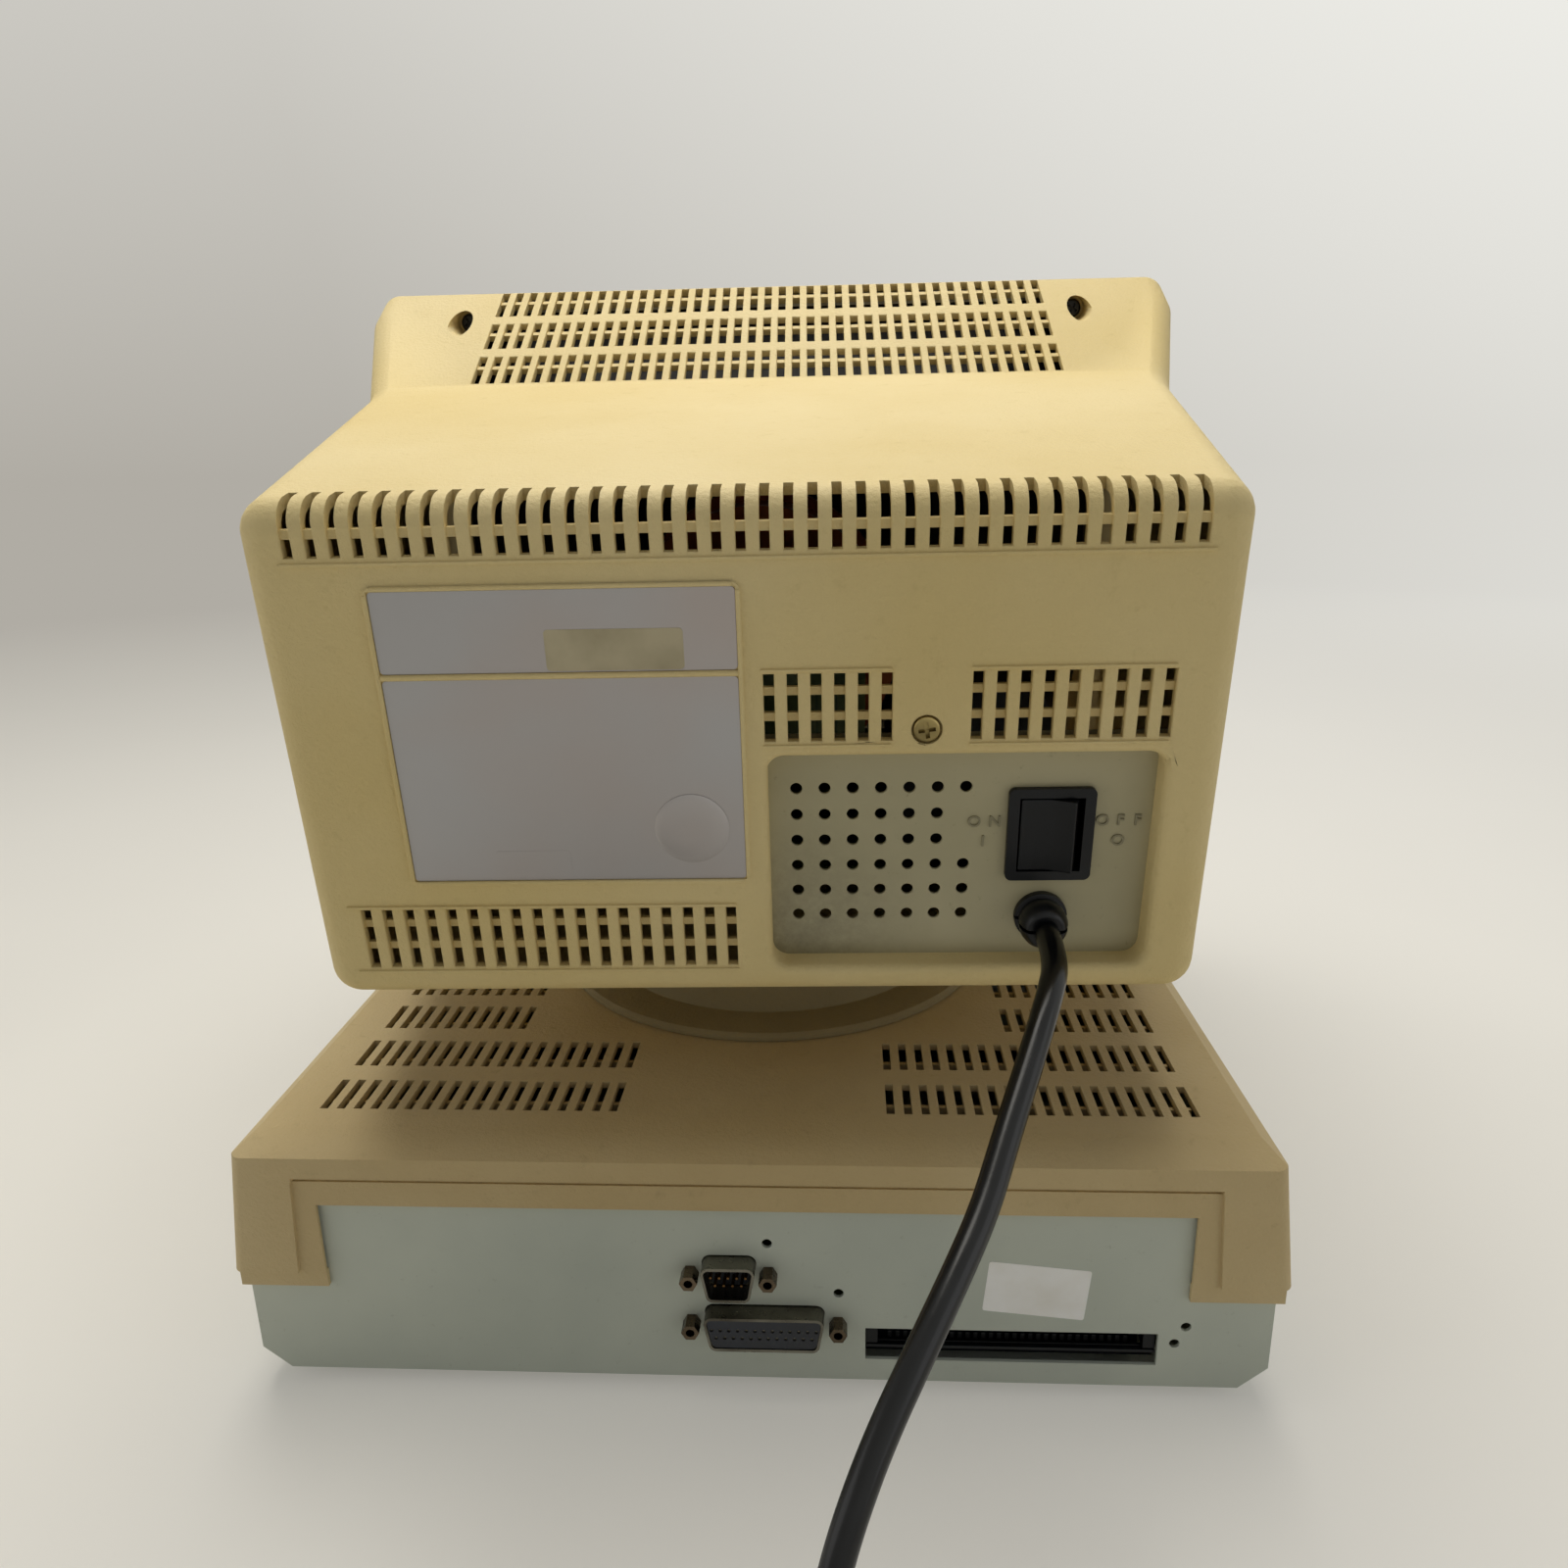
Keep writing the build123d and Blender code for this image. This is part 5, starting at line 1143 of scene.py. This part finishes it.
@dataclass
class CrossScrew:
    """A pan-head screw with a cross recess, on a seat of the monitor that faces the rear."""

    name: str
    place: Triple
    radius: float
    height: float
    turn: float
    # Its rounding as a share of its height, and its cross as shares of its radius.
    round_share: float = 0.45
    arm_share: float = 0.62
    slot_share: float = 0.15
    # How deep each bar of the cross goes, as a share of the head's height.
    depth_shares: Pair = (0.85, 0.79)

    def build(self, material: Material) -> None:
        """Models the head.

        Args:
            material: Its finish.
        """
        x, seat, z = self.place
        head = add_round(self.name, (x, seat + self.height / 2, z), self.radius, self.height, 40)
        soften(head, self.height * self.round_share, 4)
        arm = self.radius * self.arm_share
        slot = self.radius * self.slot_share
        for number, share in enumerate(self.depth_shares):
            bar = add_block("cross_bar", (-arm, -self.height * share, -slot), (arm, self.height, slot))
            bar.data.transform(Matrix.Translation(Vector((x, seat + self.height, z)) * MM)
                               @ Matrix.Rotation(math.radians(self.turn + 90 * number), 4, "Y"))
            cut(head, bar)
        finish_piece(head, Fitting(Body.MONITOR, material, "bare_steel"), MONITOR)


# The monitor

def in_monitor(place: Vector) -> Vector:
    """Turns a place in metres into the monitor's own frame, in millimetres."""
    return TO_MONITOR @ place / MM


@dataclass
class RearHousing:
    """The monitor's rear housing with its beads, ledges and screws."""

    finishes: Finishes
    edge_round: float = 0.45
    rim_round: float = 2.4
    # Outline of the housing's top from the side: height, radius of its edge, crease and crown.
    top: float = 75.0
    top_turn: float = 8.5
    crease: Pair = (-191.5, 92.2)
    crown: Pair = (-264.7, 128.0)
    crown_margin: float = 6.0
    slotted_half: float = 126.0
    # The bars across the slots: how deep they lie, how much deeper they are set and how high they reach.
    bar_front: float = 1.2
    bar_setback: float = 1.1
    bar_top: float = 60.0
    # The bead round the plates: x of its right and left, z of its bottom and top.
    bead: Area = (3.5, 99.5, -35.0, 49.5)
    divider: Pair = (25.5, 28.5)
    bead_reach: float = 2.0
    bead_slimmer: float = 1.7
    divider_slimmer: float = 0.7
    bead_foot: float = 0.2
    bead_proud: float = 1.2
    bead_lines: tuple[tuple[str, Area], ...] = (
        ("bead_top", (2.6, 100.4, 51.15, 52.45)), ("bead_low", (2.6, 100.4, -37.95, -36.65)),
        ("bead_left", (101.15, 102.45, -35.9, 50.4)), ("bead_right", (0.55, 1.85, -35.9, 50.4)),
        ("bead_middle", (1.7, 101.3, 26.3, 27.7)))
    # The recess for the power panel: x of its right and left, z of its bottom and top.
    opening: Area = (-119.0, -4.0, -69.0, 2.5)
    clear_of_bead: Pair = (-39.0, 54.0)
    clear_of_opening: Pair = (-4.0, 4.6)
    # How near to the face, the round edge or the roof a place on it lies, and where the round edge begins.
    face_slack: float = 0.03
    edge_slack: float = 0.15
    roof_slack: float = 0.08
    edge_bottom: float = 50.0
    ledge_proud: float = 0.7
    ledge_foot: float = -0.4
    # The ledge's two ends, its height and how tall it is.
    comb_ledge: Area = (-124.1, 123.8, 58.5, 1.0)
    # The face's slot groups: right and left, top and bottom.
    vents: tuple[tuple[str, Area], ...] = (
        ("vent_middle", (-40.4, -4.2, 26.2, 6.3)), ("vent_right", (-117.6, -62.0, 26.2, 6.3)),
        ("vent_low", (5.2, 123.9, -46.8, -67.0)))
    vent_margin: float = 1.2
    vent_ledge: float = 0.8
    face_screw: Triple = (-50.2, -1.8, 9.4)
    well_screw: Triple = (137.0, -257.5, 115.8)

    def build(self) -> None:
        """Builds the housing, its screws and the lines along its slots."""
        fitting = Fitting(Body.MONITOR, self.finishes.housing, "housing_plastic")
        softened_copy("rear_cover", fitting, 0.0, shape=self.shape_face)
        screw = CrossScrew("face_screw", self.face_screw, radius=3.9, height=2.2, turn=8.0)
        screw.build(self.finishes.screw)
        x, floor, z = self.well_screw
        for side, name in ((1, "well_screw_left"), (-1, "well_screw_right")):
            screw = CrossScrew(name, (side * x, floor, z), radius=4.0, height=2.4, turn=30.0 * side)
            screw.build(self.finishes.dark_steel)
        for name, (left, right, low, high) in self.bead_lines:
            add_strip(name, (left, self.bead_foot, low), (right, self.bead_proud, high), 0.5, 3, fitting,
                      MONITOR)
        ledges = [("comb_ledge", self.comb_ledge)]
        for name, (right, left, top, bottom) in self.vents:
            ledges += [(name + "_brow", (right, left, top + self.vent_margin, self.vent_ledge)),
                       (name + "_sill", (right, left, bottom - self.vent_margin, self.vent_ledge))]
        for name, (right, left, height, tall) in ledges:
            add_strip(name, (right, self.ledge_foot, height - tall / 2),
                      (left, self.ledge_proud, height + tall / 2), 0.3, 3, fitting, MONITOR)

    def shape_face(self, cover: Piece) -> None:
        """Slims the bead, sets the slots' bars back, and rounds the recess's rim and the slots' mouths.

        Args:
            cover: The merged copy of the housing.
        """
        turn = MONITOR.to_3x3()
        right, left, bottom, top = self.bead
        lower, upper = self.divider
        slim, slight = self.bead_slimmer, self.divider_slimmer
        for way, line, reach in ((0, right, -slim), (0, left, slim), (2, bottom, -slim), (2, top, slim),
                                 (2, lower, slight), (2, upper, -slight)):
            shift = Vector((0.0, 0.0, 0.0))
            shift[way] = reach
            shift_corners(cover, lambda place: self.on_bead(in_monitor(place), way, line), turn @ shift * MM)
        shift_corners(cover, lambda place: self.on_bar(in_monitor(place)),
                      turn @ Vector((0.0, -self.bar_setback, 0.0)) * MM)
        round_edges(cover, lambda place: self.on_rim(in_monitor(place)), self.rim_round, 5)
        round_edges(cover, lambda place: self.outside(in_monitor(place)), self.edge_round)
        # Many-sided faces of the rear face are cut into even triangles.
        open_with(cover, Pick.FACES,
                  lambda face: len(face.vertices) > 4 and abs(in_monitor(face.center).y) < ON_LINE)
        bpy.ops.mesh.quads_convert_to_tris(quad_method="BEAUTY", ngon_method="BEAUTY")
        bpy.ops.object.mode_set(mode="OBJECT")

    def on_bead(self, place: Vector, way: int, line: float) -> bool:
        """Tells whether a corner lies on one inner line of the bead, in front of the face.

        Args:
            place: The corner, in the monitor's frame.
            way: 0 for an upright line and 2 for a level one.
            line: The line's x or z.

        Returns:
            Whether it does.
        """
        right, left, bottom, top = self.bead
        inside = (right - self.bead_reach < place.x < left + self.bead_reach
                  and bottom - self.bead_reach < place.z < top + self.bead_reach)
        return inside and -0.1 < place.y < 1.0 and abs(place[way] - line) < ON_LINE

    def on_bar(self, place: Vector) -> bool:
        """Tells whether a place lies on the front of a bar across the face's slots."""
        return (abs(place.y + self.bar_front) < ON_LINE and abs(place.x) < self.slotted_half
                and place.z < self.bar_top)

    def on_rim(self, place: Vector) -> bool:
        """Tells whether a place lies on the recess's rim."""
        right, left, bottom, top = self.opening
        return abs(place.y) < ON_LINE and right < place.x < left and bottom < place.z < top

    def outside(self, place: Vector) -> bool:
        """Tells whether a place lies on the slotted part of the outer surface.

        Args:
            place: The place, in the monitor's frame.

        Returns:
            Whether it does.
        """
        if abs(place.x) > self.slotted_half:
            return False
        if place.y > -self.face_slack:
            low, high = self.clear_of_bead
            beside, above = self.clear_of_opening
            off_bead = place.x < 0.0 or place.z < low or place.z > high
            return place.y < self.face_slack and off_bead and (place.x > beside or place.z > above)
        turn = self.top_turn
        if place.y > -turn:
            away = math.hypot(place.y + turn, place.z - (self.top - turn))
            return abs(away - turn) < self.edge_slack and place.z > self.edge_bottom
        crease_y, crease_z = self.crease
        crown_y, crown_z = self.crown
        if place.y > crease_y:
            roof = self.top + (crease_z - self.top) * place.y / crease_y
        else:
            roof = crease_z + (crown_z - crease_z) * (place.y - crease_y) / (crown_y - crease_y)
        return place.y > crown_y + self.crown_margin and abs(place.z - roof) < self.roof_slack


@dataclass
class RatingPlates:
    """The two bare rating plates in their frame, with a pressed blister and two blank stickers."""

    finishes: Finishes
    thickness: float = 0.35
    corner: float = 1.2
    sunk: float = 0.05
    # Right and left, bottom and top.
    upper: Area = (1.95, 101.05, 27.95, 51.05)
    lower: Area = (1.95, 101.05, -36.55, 26.05)
    number_sticker: Area = (16.5, 54.5, 28.3, 40.0)
    date_sticker: Area = (53.5, 76.0, -34.0, -26.8)
    number_thickness: float = 0.12
    date_thickness: float = 0.08
    # x, z and radius.
    blister: Triple = (17.2, -20.1, 10.9)
    blister_root: float = 0.3
    # How far in and how far up each step of the blister goes.
    blister_steps: tuple[Pair, ...] = ((0.7, 0.25), (1.4, 0.22), (2.4, 0.14), (2.6, 0.06))

    def build(self) -> None:
        """Builds the plates and what is stuck on them."""
        foil = Fitting(Body.MONITOR, self.finishes.foil, "plate_paint")
        paper = Fitting(Body.MONITOR, self.finishes.beige_sticker, "plate_paint")
        face = self.thickness
        self.add_plate("upper_plate", self.upper, 0.0, face, foil)
        self.add_plate("lower_plate", self.lower, 0.0, face, foil)
        self.add_blister(foil)
        self.add_plate("number_sticker", self.number_sticker, face, face + self.number_thickness, paper)
        self.add_plate("date_sticker", self.date_sticker, face, face + self.date_thickness, foil)

    def add_plate(self, name: str, area: Area, low: float, high: float, fitting: Fitting) -> None:
        """Lays a thin plate with round corners on the rear face.

        Args:
            name: Its name.
            area: Its right and left, bottom and top.
            low: The surface under it.
            high: Its own surface.
            fitting: Its body, finish and slot.
        """
        right, left, bottom, top = area
        plate = add_block(name, (right, low - self.sunk, bottom), (left, high, top))
        round_corners(plate, self.corner, 5)
        soften(plate, 0.06, 2, 60.0)
        finish_piece(plate, fitting, MONITOR)

    def add_blister(self, fitting: Fitting) -> None:
        """Presses a low round blister out of the lower plate.

        Args:
            fitting: Its body, finish and slot.
        """
        x, z, radius = self.blister
        dome = add_round("plate_blister", (x, self.thickness + 0.1, z), radius, self.blister_root, 56)
        for reach, rise in self.blister_steps:
            open_end(dome)
            bpy.ops.mesh.inset(thickness=reach * MM, depth=0.0)
            bpy.ops.transform.translate(value=(0.0, rise * MM, 0.0))
            bpy.ops.object.mode_set(mode="OBJECT")
        finish_piece(dome, fitting, MONITOR, 60.0)


@dataclass
class PowerPanel:
    """The recessed panel with its holes, the switch with its marks, and the lead's bushing."""

    finishes: Finishes
    surface: float = -8.0
    # Each mark's name and its letters, with the x and z of each letter's middle.
    marks: tuple[tuple[str, tuple[tuple[str, float, float], ...]], ...] = (
        ("mark_on", (("O", -65.8, -22.9), ("N", -71.9, -22.9))),
        ("mark_line", (("I", -68.6, -29.3),)),
        ("mark_off", (("O", -103.6, -22.9), ("F", -108.9, -22.9), ("F", -113.9, -22.9))),
        ("mark_ring", (("O", -108.6, -29.5),)))
    mark_size: float = 4.9
    mark_proud: float = 0.5
    mark_weight: float = 0.07
    hole_radius: float = 1.75
    punch_length: float = 6.0
    hole_pitch: Pair = (8.32, 8.45)
    first_hole: Pair = (-13.14, -11.5)
    holes_per_row: tuple[int, ...] = (7, 6, 6, 7, 7, 7)
    bushing: Pair = (-87.2, -54.4)
    bushing_radius: float = 6.0
    bushing_root: float = 10.0
    # How far out and how far up each step of the bushing goes.
    bushing_steps: tuple[Pair, ...] = (
        (2.0, 0.0), (0.0, 2.2), (-1.2, 0.3), (0.4, 2.0), (0.1, 2.4), (-0.5, 2.2), (-1.0, 1.6), (-0.9, 0.6))
    # The groove's reach to each side, half its height, and where it starts and ends behind the panel.
    groove_reach: float = 9.0
    groove_half: float = 0.5
    groove_span: Pair = (1.2, 14.0)

    def build(self) -> None:
        """Builds the panel's pieces."""
        black = self.finishes.black
        softened_copy("power_panel", Fitting(Body.MONITOR, self.finishes.panel, "plate_paint"), 0.3, 2, 40.0,
                      self.open_holes, False)
        for name, letters in self.marks:
            word = merge(name, [self.add_letter(*letter) for letter in letters])
            # The marks' darker finish is painted shade round the letters.
            finish_piece(word, Fitting(Body.MONITOR, self.finishes.mark, "plate_paint"), MONITOR)
        softened_copy("switch_body", Fitting(Body.MONITOR, black, "dark_plastic"), 0.5, 3)
        softened_copy("switch_rocker", Fitting(Body.ROCKER, black, "dark_plastic"), 0.6, 3, 25.0)
        self.add_bushing(Fitting(Body.MONITOR, black, "dark_plastic"))

    def add_letter(self, letter: str, x: float, z: float) -> Piece:
        """Raises a generic letter on the panel.

        Args:
            letter: The letter.
            x: Its place across.
            z: Its height.

        Returns:
            The letter as a mesh, drawn in the monitor's frame.
        """
        clear_selection()
        bpy.ops.object.text_add(location=(0.0, 0.0, 0.0))
        text = bpy.context.object.data
        text.body = letter
        text.size = self.mark_size * MM
        text.extrude = self.mark_proud / 2 * MM
        text.offset = self.mark_weight * MM
        text.align_x = "CENTER"
        text.align_y = "CENTER"
        bpy.ops.object.convert(target="MESH")
        piece = named("letter")
        turn = Matrix.Rotation(math.pi, 4, "Z") @ Matrix.Rotation(math.pi / 2, 4, "X")
        middle = Vector((x, self.surface + self.mark_proud / 2, z))
        piece.data.transform(Matrix.Translation(middle * MM) @ turn)
        return piece

    def open_holes(self, panel: Piece) -> None:
        """Punches the panel's holes round and to their full size.

        Args:
            panel: The merged copy of the panel.
        """
        across, down = self.hole_pitch
        right, top = self.first_hole
        places = [(right - column * across, self.surface, top - row * down)
                  for row, count in enumerate(self.holes_per_row) for column in range(count)]
        punch = merge("punch", [add_round("punch", place, self.hole_radius, self.punch_length, 24)
                                for place in places])
        punch.data.transform(MONITOR)
        cut(panel, punch)

    def add_bushing(self, fitting: Fitting) -> None:
        """Turns the split bushing: flange, two bulging cheeks and the groove between them.

        Args:
            fitting: Its body, finish and slot.
        """
        x, z = self.bushing
        radius = self.bushing_radius
        root = self.bushing_root
        piece = add_round("split_bushing", (x, self.surface - root / 2, z), radius, root, 48)
        for spread, rise in self.bushing_steps:
            open_end(piece)
            bpy.ops.mesh.extrude_region_move(TRANSFORM_OT_translate={"value": (0.0, rise * MM, 0.0)})
            grow = (radius + spread) / radius
            bpy.ops.transform.resize(value=(grow, 1.0, grow), center_override=(x * MM, 0.0, z * MM))
            bpy.ops.object.mode_set(mode="OBJECT")
            radius += spread
        start, end = self.groove_span
        cut(piece, add_block("groove", (x - self.groove_reach, self.surface + start, z - self.groove_half),
                             (x + self.groove_reach, self.surface + end, z + self.groove_half)))
        soften(piece, 0.25, 2, 50.0)
        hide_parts("cord_bushing")
        finish_piece(piece, fitting, MONITOR, 40.0)


@dataclass
class DisplayFront:
    """Bezel, picture tube and the two control knobs, on the monitor's far side."""

    finishes: Finishes

    def build(self) -> None:
        """Dresses the front of the monitor and what is inside it."""
        made = self.finishes
        softened_copy("monitor_bezel", Fitting(Body.MONITOR, made.front, "front_plastic"), 1.2, 3, 27.0)
        dress(made.glass, "tube_panel")
        dress(made.graphite, "tube_funnel")
        dress(made.steel, "tension_band")
        dress(made.copper, "deflection_yoke")
        dress(made.board, "neck_board", "monitor_board")
        dress(made.grey, "transformer", "power_supply")
        softened_copy("brightness_knob", Fitting(Body.BRIGHTNESS, made.grey, "dark_plastic"), 0.2)
        softened_copy("contrast_knob", Fitting(Body.CONTRAST, made.grey, "dark_plastic"), 0.2)


@dataclass
class SwivelStand:
    """The plinth, cup and ball foot between the monitor and the system unit."""

    finishes: Finishes

    def build(self) -> None:
        """Dresses the stand."""
        # The stand and saddle take a darkened finish: painted shade under the monitor.
        softened_copy("turntable", Fitting(Body.STAND, self.finishes.stand, "stand_plastic"), 0.5, 2, 50.0)
        dress(self.finishes.stand, "tilt_saddle")
        dress(self.finishes.housing, "ball_foot")


# The system unit

@dataclass
class SystemUnit:
    """Moulded cover, painted pan, feet and what shows through the slots."""

    finishes: Finishes
    rear: float = 153.0
    # Half length, bottom and top of the groove along the cover's rear band.
    groove: Triple = (143.3, 73.7, 75.3)
    groove_depth: float = 1.9
    # Each row of deck slots: y of its middle and where it starts beside the stand.
    slot_rows: tuple[Pair, ...] = ((123.1, 43.0), (96.15, 43.0), (69.2, 88.0), (42.25, 88.0))
    slots_end: float = 141.6
    rib_half: float = 0.9
    rib_low: float = 80.6
    rib_high: float = 84.6

    def build(self) -> None:
        """Dresses the unit, and runs a stiffening rib under the middle of each row of deck slots."""
        made = self.finishes
        cover = Fitting(Body.BASE, made.cover, "cover_plastic")
        softened_copy("base_cover", cover, 0.5, 2, 25.0, self.cut_groove)
        dress(made.pan, "chassis_pan", "rear_panel")
        dress(made.rubber, "foot_1", "foot_2", "foot_3", "foot_4")
        dress(made.board, "main_board")
        dress(made.steel, "drive_bracket", "swivel_clip", "drive_a", "drive_b")
        dress(made.grey, "speaker")
        for number, (y, near) in enumerate(self.slot_rows, 1):
            for name, low, high in (("left", near, self.slots_end), ("right", -self.slots_end, -near)):
                add_strip(f"slot_rib_{name}_{number}", (low, y - self.rib_half, self.rib_low),
                          (high, y + self.rib_half, self.rib_high), 0.3, 2, cover)

    def cut_groove(self, cover: Piece) -> None:
        """Cuts the narrow groove along the top of the cover's recessed rear band.

        Args:
            cover: The merged copy of the cover.
        """
        half, low, high = self.groove
        cut(cover, add_block("groove", (-half, self.rear - self.groove_depth, low),
                             (half, self.rear + 1.0, high)))


@dataclass
class RearPorts:
    """The two D-shell ports, the option slot's contacts and the blank sticker on the rear panel."""

    finishes: Finishes
    face: float = 149.5
    panel: float = 1.2
    # x and z of the middle of each port and of the option slot.
    printer: Pair = (-4.1, 21.8)
    serial: Pair = (6.8, 40.4)
    option: Pair = (-82.5, 14.2)
    printer_rows: tuple[int, int] = (13, 12)
    serial_rows: tuple[int, int] = (5, 4)
    contact_pitch: float = 2.77
    contact_rise: float = 1.42
    printer_width: float = 36.6
    serial_width: float = 15.4
    insert_height: float = 10.2
    insert_corner: float = 1.8
    insert_slant: float = 10.0
    spring_count: int = 31
    spring_pitch: float = 2.54
    spring_rise: float = 2.35
    # Half a spring's width and half its height.
    spring_half: Pair = (0.62, 1.1)
    # Walls and lips of the option slot: low and high corners from its middle and the panel's inside.
    mouth: tuple[tuple[Triple, Triple], ...] = (
        ((-46.1, -7.3, -1.4), (-42.1, -0.6, 5.9)), ((42.1, -7.3, -1.4), (46.1, -0.6, 5.9)),
        ((-46.1, -2.2, -2.6), (46.1, -0.1, -1.5)), ((-46.1, -4.2, -5.9), (46.1, -2.8, -2.0)))
    sticker_middle: Triple = (-90.0, 0.0, 35.7)
    sticker_half: Pair = (16.0, 9.2)
    sticker_tilt: float = -5.6

    def build(self) -> None:
        """Dresses the ports and builds the pieces in them."""
        made = self.finishes
        dress(made.shell, "printer_port", "serial_port")
        dress(made.nut, "jack_nut_1", "jack_nut_2", "jack_nut_3", "jack_nut_4")
        dress(made.black, "option_connector")
        self.add_printer_insert()
        self.add_serial_insert()
        self.add_option_contacts()
        self.add_option_mouth()
        self.add_sticker()

    def insert_face(self, name: str, middle: Pair, width: float, low: float, high: float) -> Piece:
        """Blocks out the D-shaped insert of a port, wide side up.

        Args:
            name: Its name.
            middle: x and z of its middle.
            width: Its width along the top.
            low: y of its back.
            high: y of its front.

        Returns:
            The insert, before its holes or pins.
        """
        x, z = middle
        half = self.insert_height / 2
        block = add_block(name, (x - width / 2, low, z - half), (x + width / 2, high, z + half))
        open_with(block, Pick.FACES, lambda face: face.normal.z < -0.9)
        slant = self.insert_height * math.tan(math.radians(self.insert_slant))
        bpy.ops.transform.resize(value=((width - slant * 2) / width, 1.0, 1.0),
                                 center_override=(x * MM, 0.0, z * MM))
        bpy.ops.object.mode_set(mode="OBJECT")
        round_corners(block, self.insert_corner, 4)
        return block

    def contacts(self, name: str, middle: Pair, rows: tuple[int, int], y: float, radius: float,
                 length: float, sides: int) -> Piece:
        """Lays out a port's round contacts in two rows, as one piece.

        Args:
            name: Its name.
            middle: x and z of the port's middle.
            rows: How many contacts the upper and the lower row have.
            y: Middle of the contacts from front to back.
            radius: Their radius.
            length: Their length.
            sides: How many flat sides stand for their round.

        Returns:
            The contacts, or the tool that makes their holes.
        """
        x, z = middle
        places = [(x + (number - (count - 1) / 2) * self.contact_pitch, y, z + rise)
                  for count, rise in zip(rows, (self.contact_rise, -self.contact_rise))
                  for number in range(count)]
        return merge(name, [add_round("contact", place, radius, length, sides) for place in places])

    def add_printer_insert(self) -> None:
        """Models the blue-black insert of the printer port with its 25 holes."""
        front = self.face + 5.2
        block = self.insert_face("printer_insert", self.printer, self.printer_width, front - 0.2, front + 0.5)
        cut(block, self.contacts("holes", self.printer, self.printer_rows, front + 0.5,
                                 radius=0.62, length=3.0, sides=10))
        finish_piece(block, Fitting(Body.BASE, self.finishes.insert, "dark_plastic"))

    def add_serial_insert(self) -> None:
        """Models the black floor of the serial port with its nine pins."""
        floor = self.face - self.panel
        block = self.insert_face("serial_insert", self.serial, self.serial_width, floor - 0.1, floor + 0.4)
        finish_piece(block, Fitting(Body.BASE, self.finishes.insert, "dark_plastic"))
        pins = self.contacts("serial_pins", self.serial, self.serial_rows, floor + 2.9,
                             radius=0.5, length=5.4, sides=12)
        soften(pins, 0.3)
        finish_piece(pins, Fitting(Body.BASE, self.finishes.dull_brass, "pin_brass"))

    def add_option_contacts(self) -> None:
        """Sets a row of sprung contacts along each side of the option connector's mouth."""
        x, z = self.option
        front = self.face - self.panel - 6.0
        half_width, half_height = self.spring_half
        springs = []
        for rise in (self.spring_rise, -self.spring_rise):
            for number in range(self.spring_count):
                across = x + (number - self.spring_count // 2) * self.spring_pitch
                springs.append(add_block(
                    "spring", (across - half_width, front - 0.2, z + rise - half_height),
                    (across + half_width, front + 0.35, z + rise + half_height)))
        joined = merge("option_contacts", springs)
        soften(joined, 0.12, 1)
        finish_piece(joined, Fitting(Body.BASE, self.finishes.grey, "dark_plastic"))

    def add_option_mouth(self) -> None:
        """Fills the slot round the option connector: its side walls, its rounded lower lip and its apron."""
        middle = Vector((self.option[0], self.face - self.panel, self.option[1]))
        joined = merge("option_mouth", [add_block("mouth", middle + Vector(low), middle + Vector(high))
                                        for low, high in self.mouth])
        soften(joined, 0.35, 3)
        finish_piece(joined, Fitting(Body.BASE, self.finishes.black, "dark_plastic"))

    def add_sticker(self) -> None:
        """Sticks a blank white label askew beside the option slot."""
        half_width, half_height = self.sticker_half
        label = add_block("blank_sticker", (-half_width, self.face, -half_height),
                          (half_width, self.face + 0.12, half_height))
        round_corners(label, 0.8, 3)
        turn = (Matrix.Translation(Vector(self.sticker_middle) * MM)
                @ Matrix.Rotation(math.radians(self.sticker_tilt), 4, "Y"))
        finish_piece(label, Fitting(Body.BASE, self.finishes.sticker, "plate_paint"), turn)


@dataclass
class DriveFront:
    """The unit's far side: front moulding, two disk drives, lamp and keyboard jack."""

    finishes: Finishes

    def build(self) -> None:
        """Dresses the front of the unit."""
        made = self.finishes
        moulding = Fitting(Body.BASE, made.front, "front_plastic")
        softened_copy("base_front", moulding, 0.6, 2, 25.0)
        for letter, flap, button in (("a", Body.FLAP_A, Body.BUTTON_A), ("b", Body.FLAP_B, Body.BUTTON_B)):
            softened_copy("drive_front_" + letter, moulding, 0.35)
            softened_copy("drive_flap_" + letter, Fitting(flap, made.grey, "dark_plastic"), 0.2)
            softened_copy("eject_button_" + letter, Fitting(button, made.front, "part_plastic"), 0.5, 3)
        dress(made.lamp, "power_lamp")
        dress(made.black, "keyboard_jack")


def main() -> None:
    """Builds the room and dresses the frame."""
    logging.basicConfig(level=logging.INFO, format="%(message)s")
    finishes = Finishes()
    Studio().build()
    MainsLead(finishes).build()
    for kind in (RearHousing, RatingPlates, PowerPanel, DisplayFront, SwivelStand, SystemUnit, RearPorts,
                 DriveFront):
        kind(finishes).build()
        LOG.info("finished %s", kind.__name__)
    clear_selection()


if __name__ == "__main__":
    main()
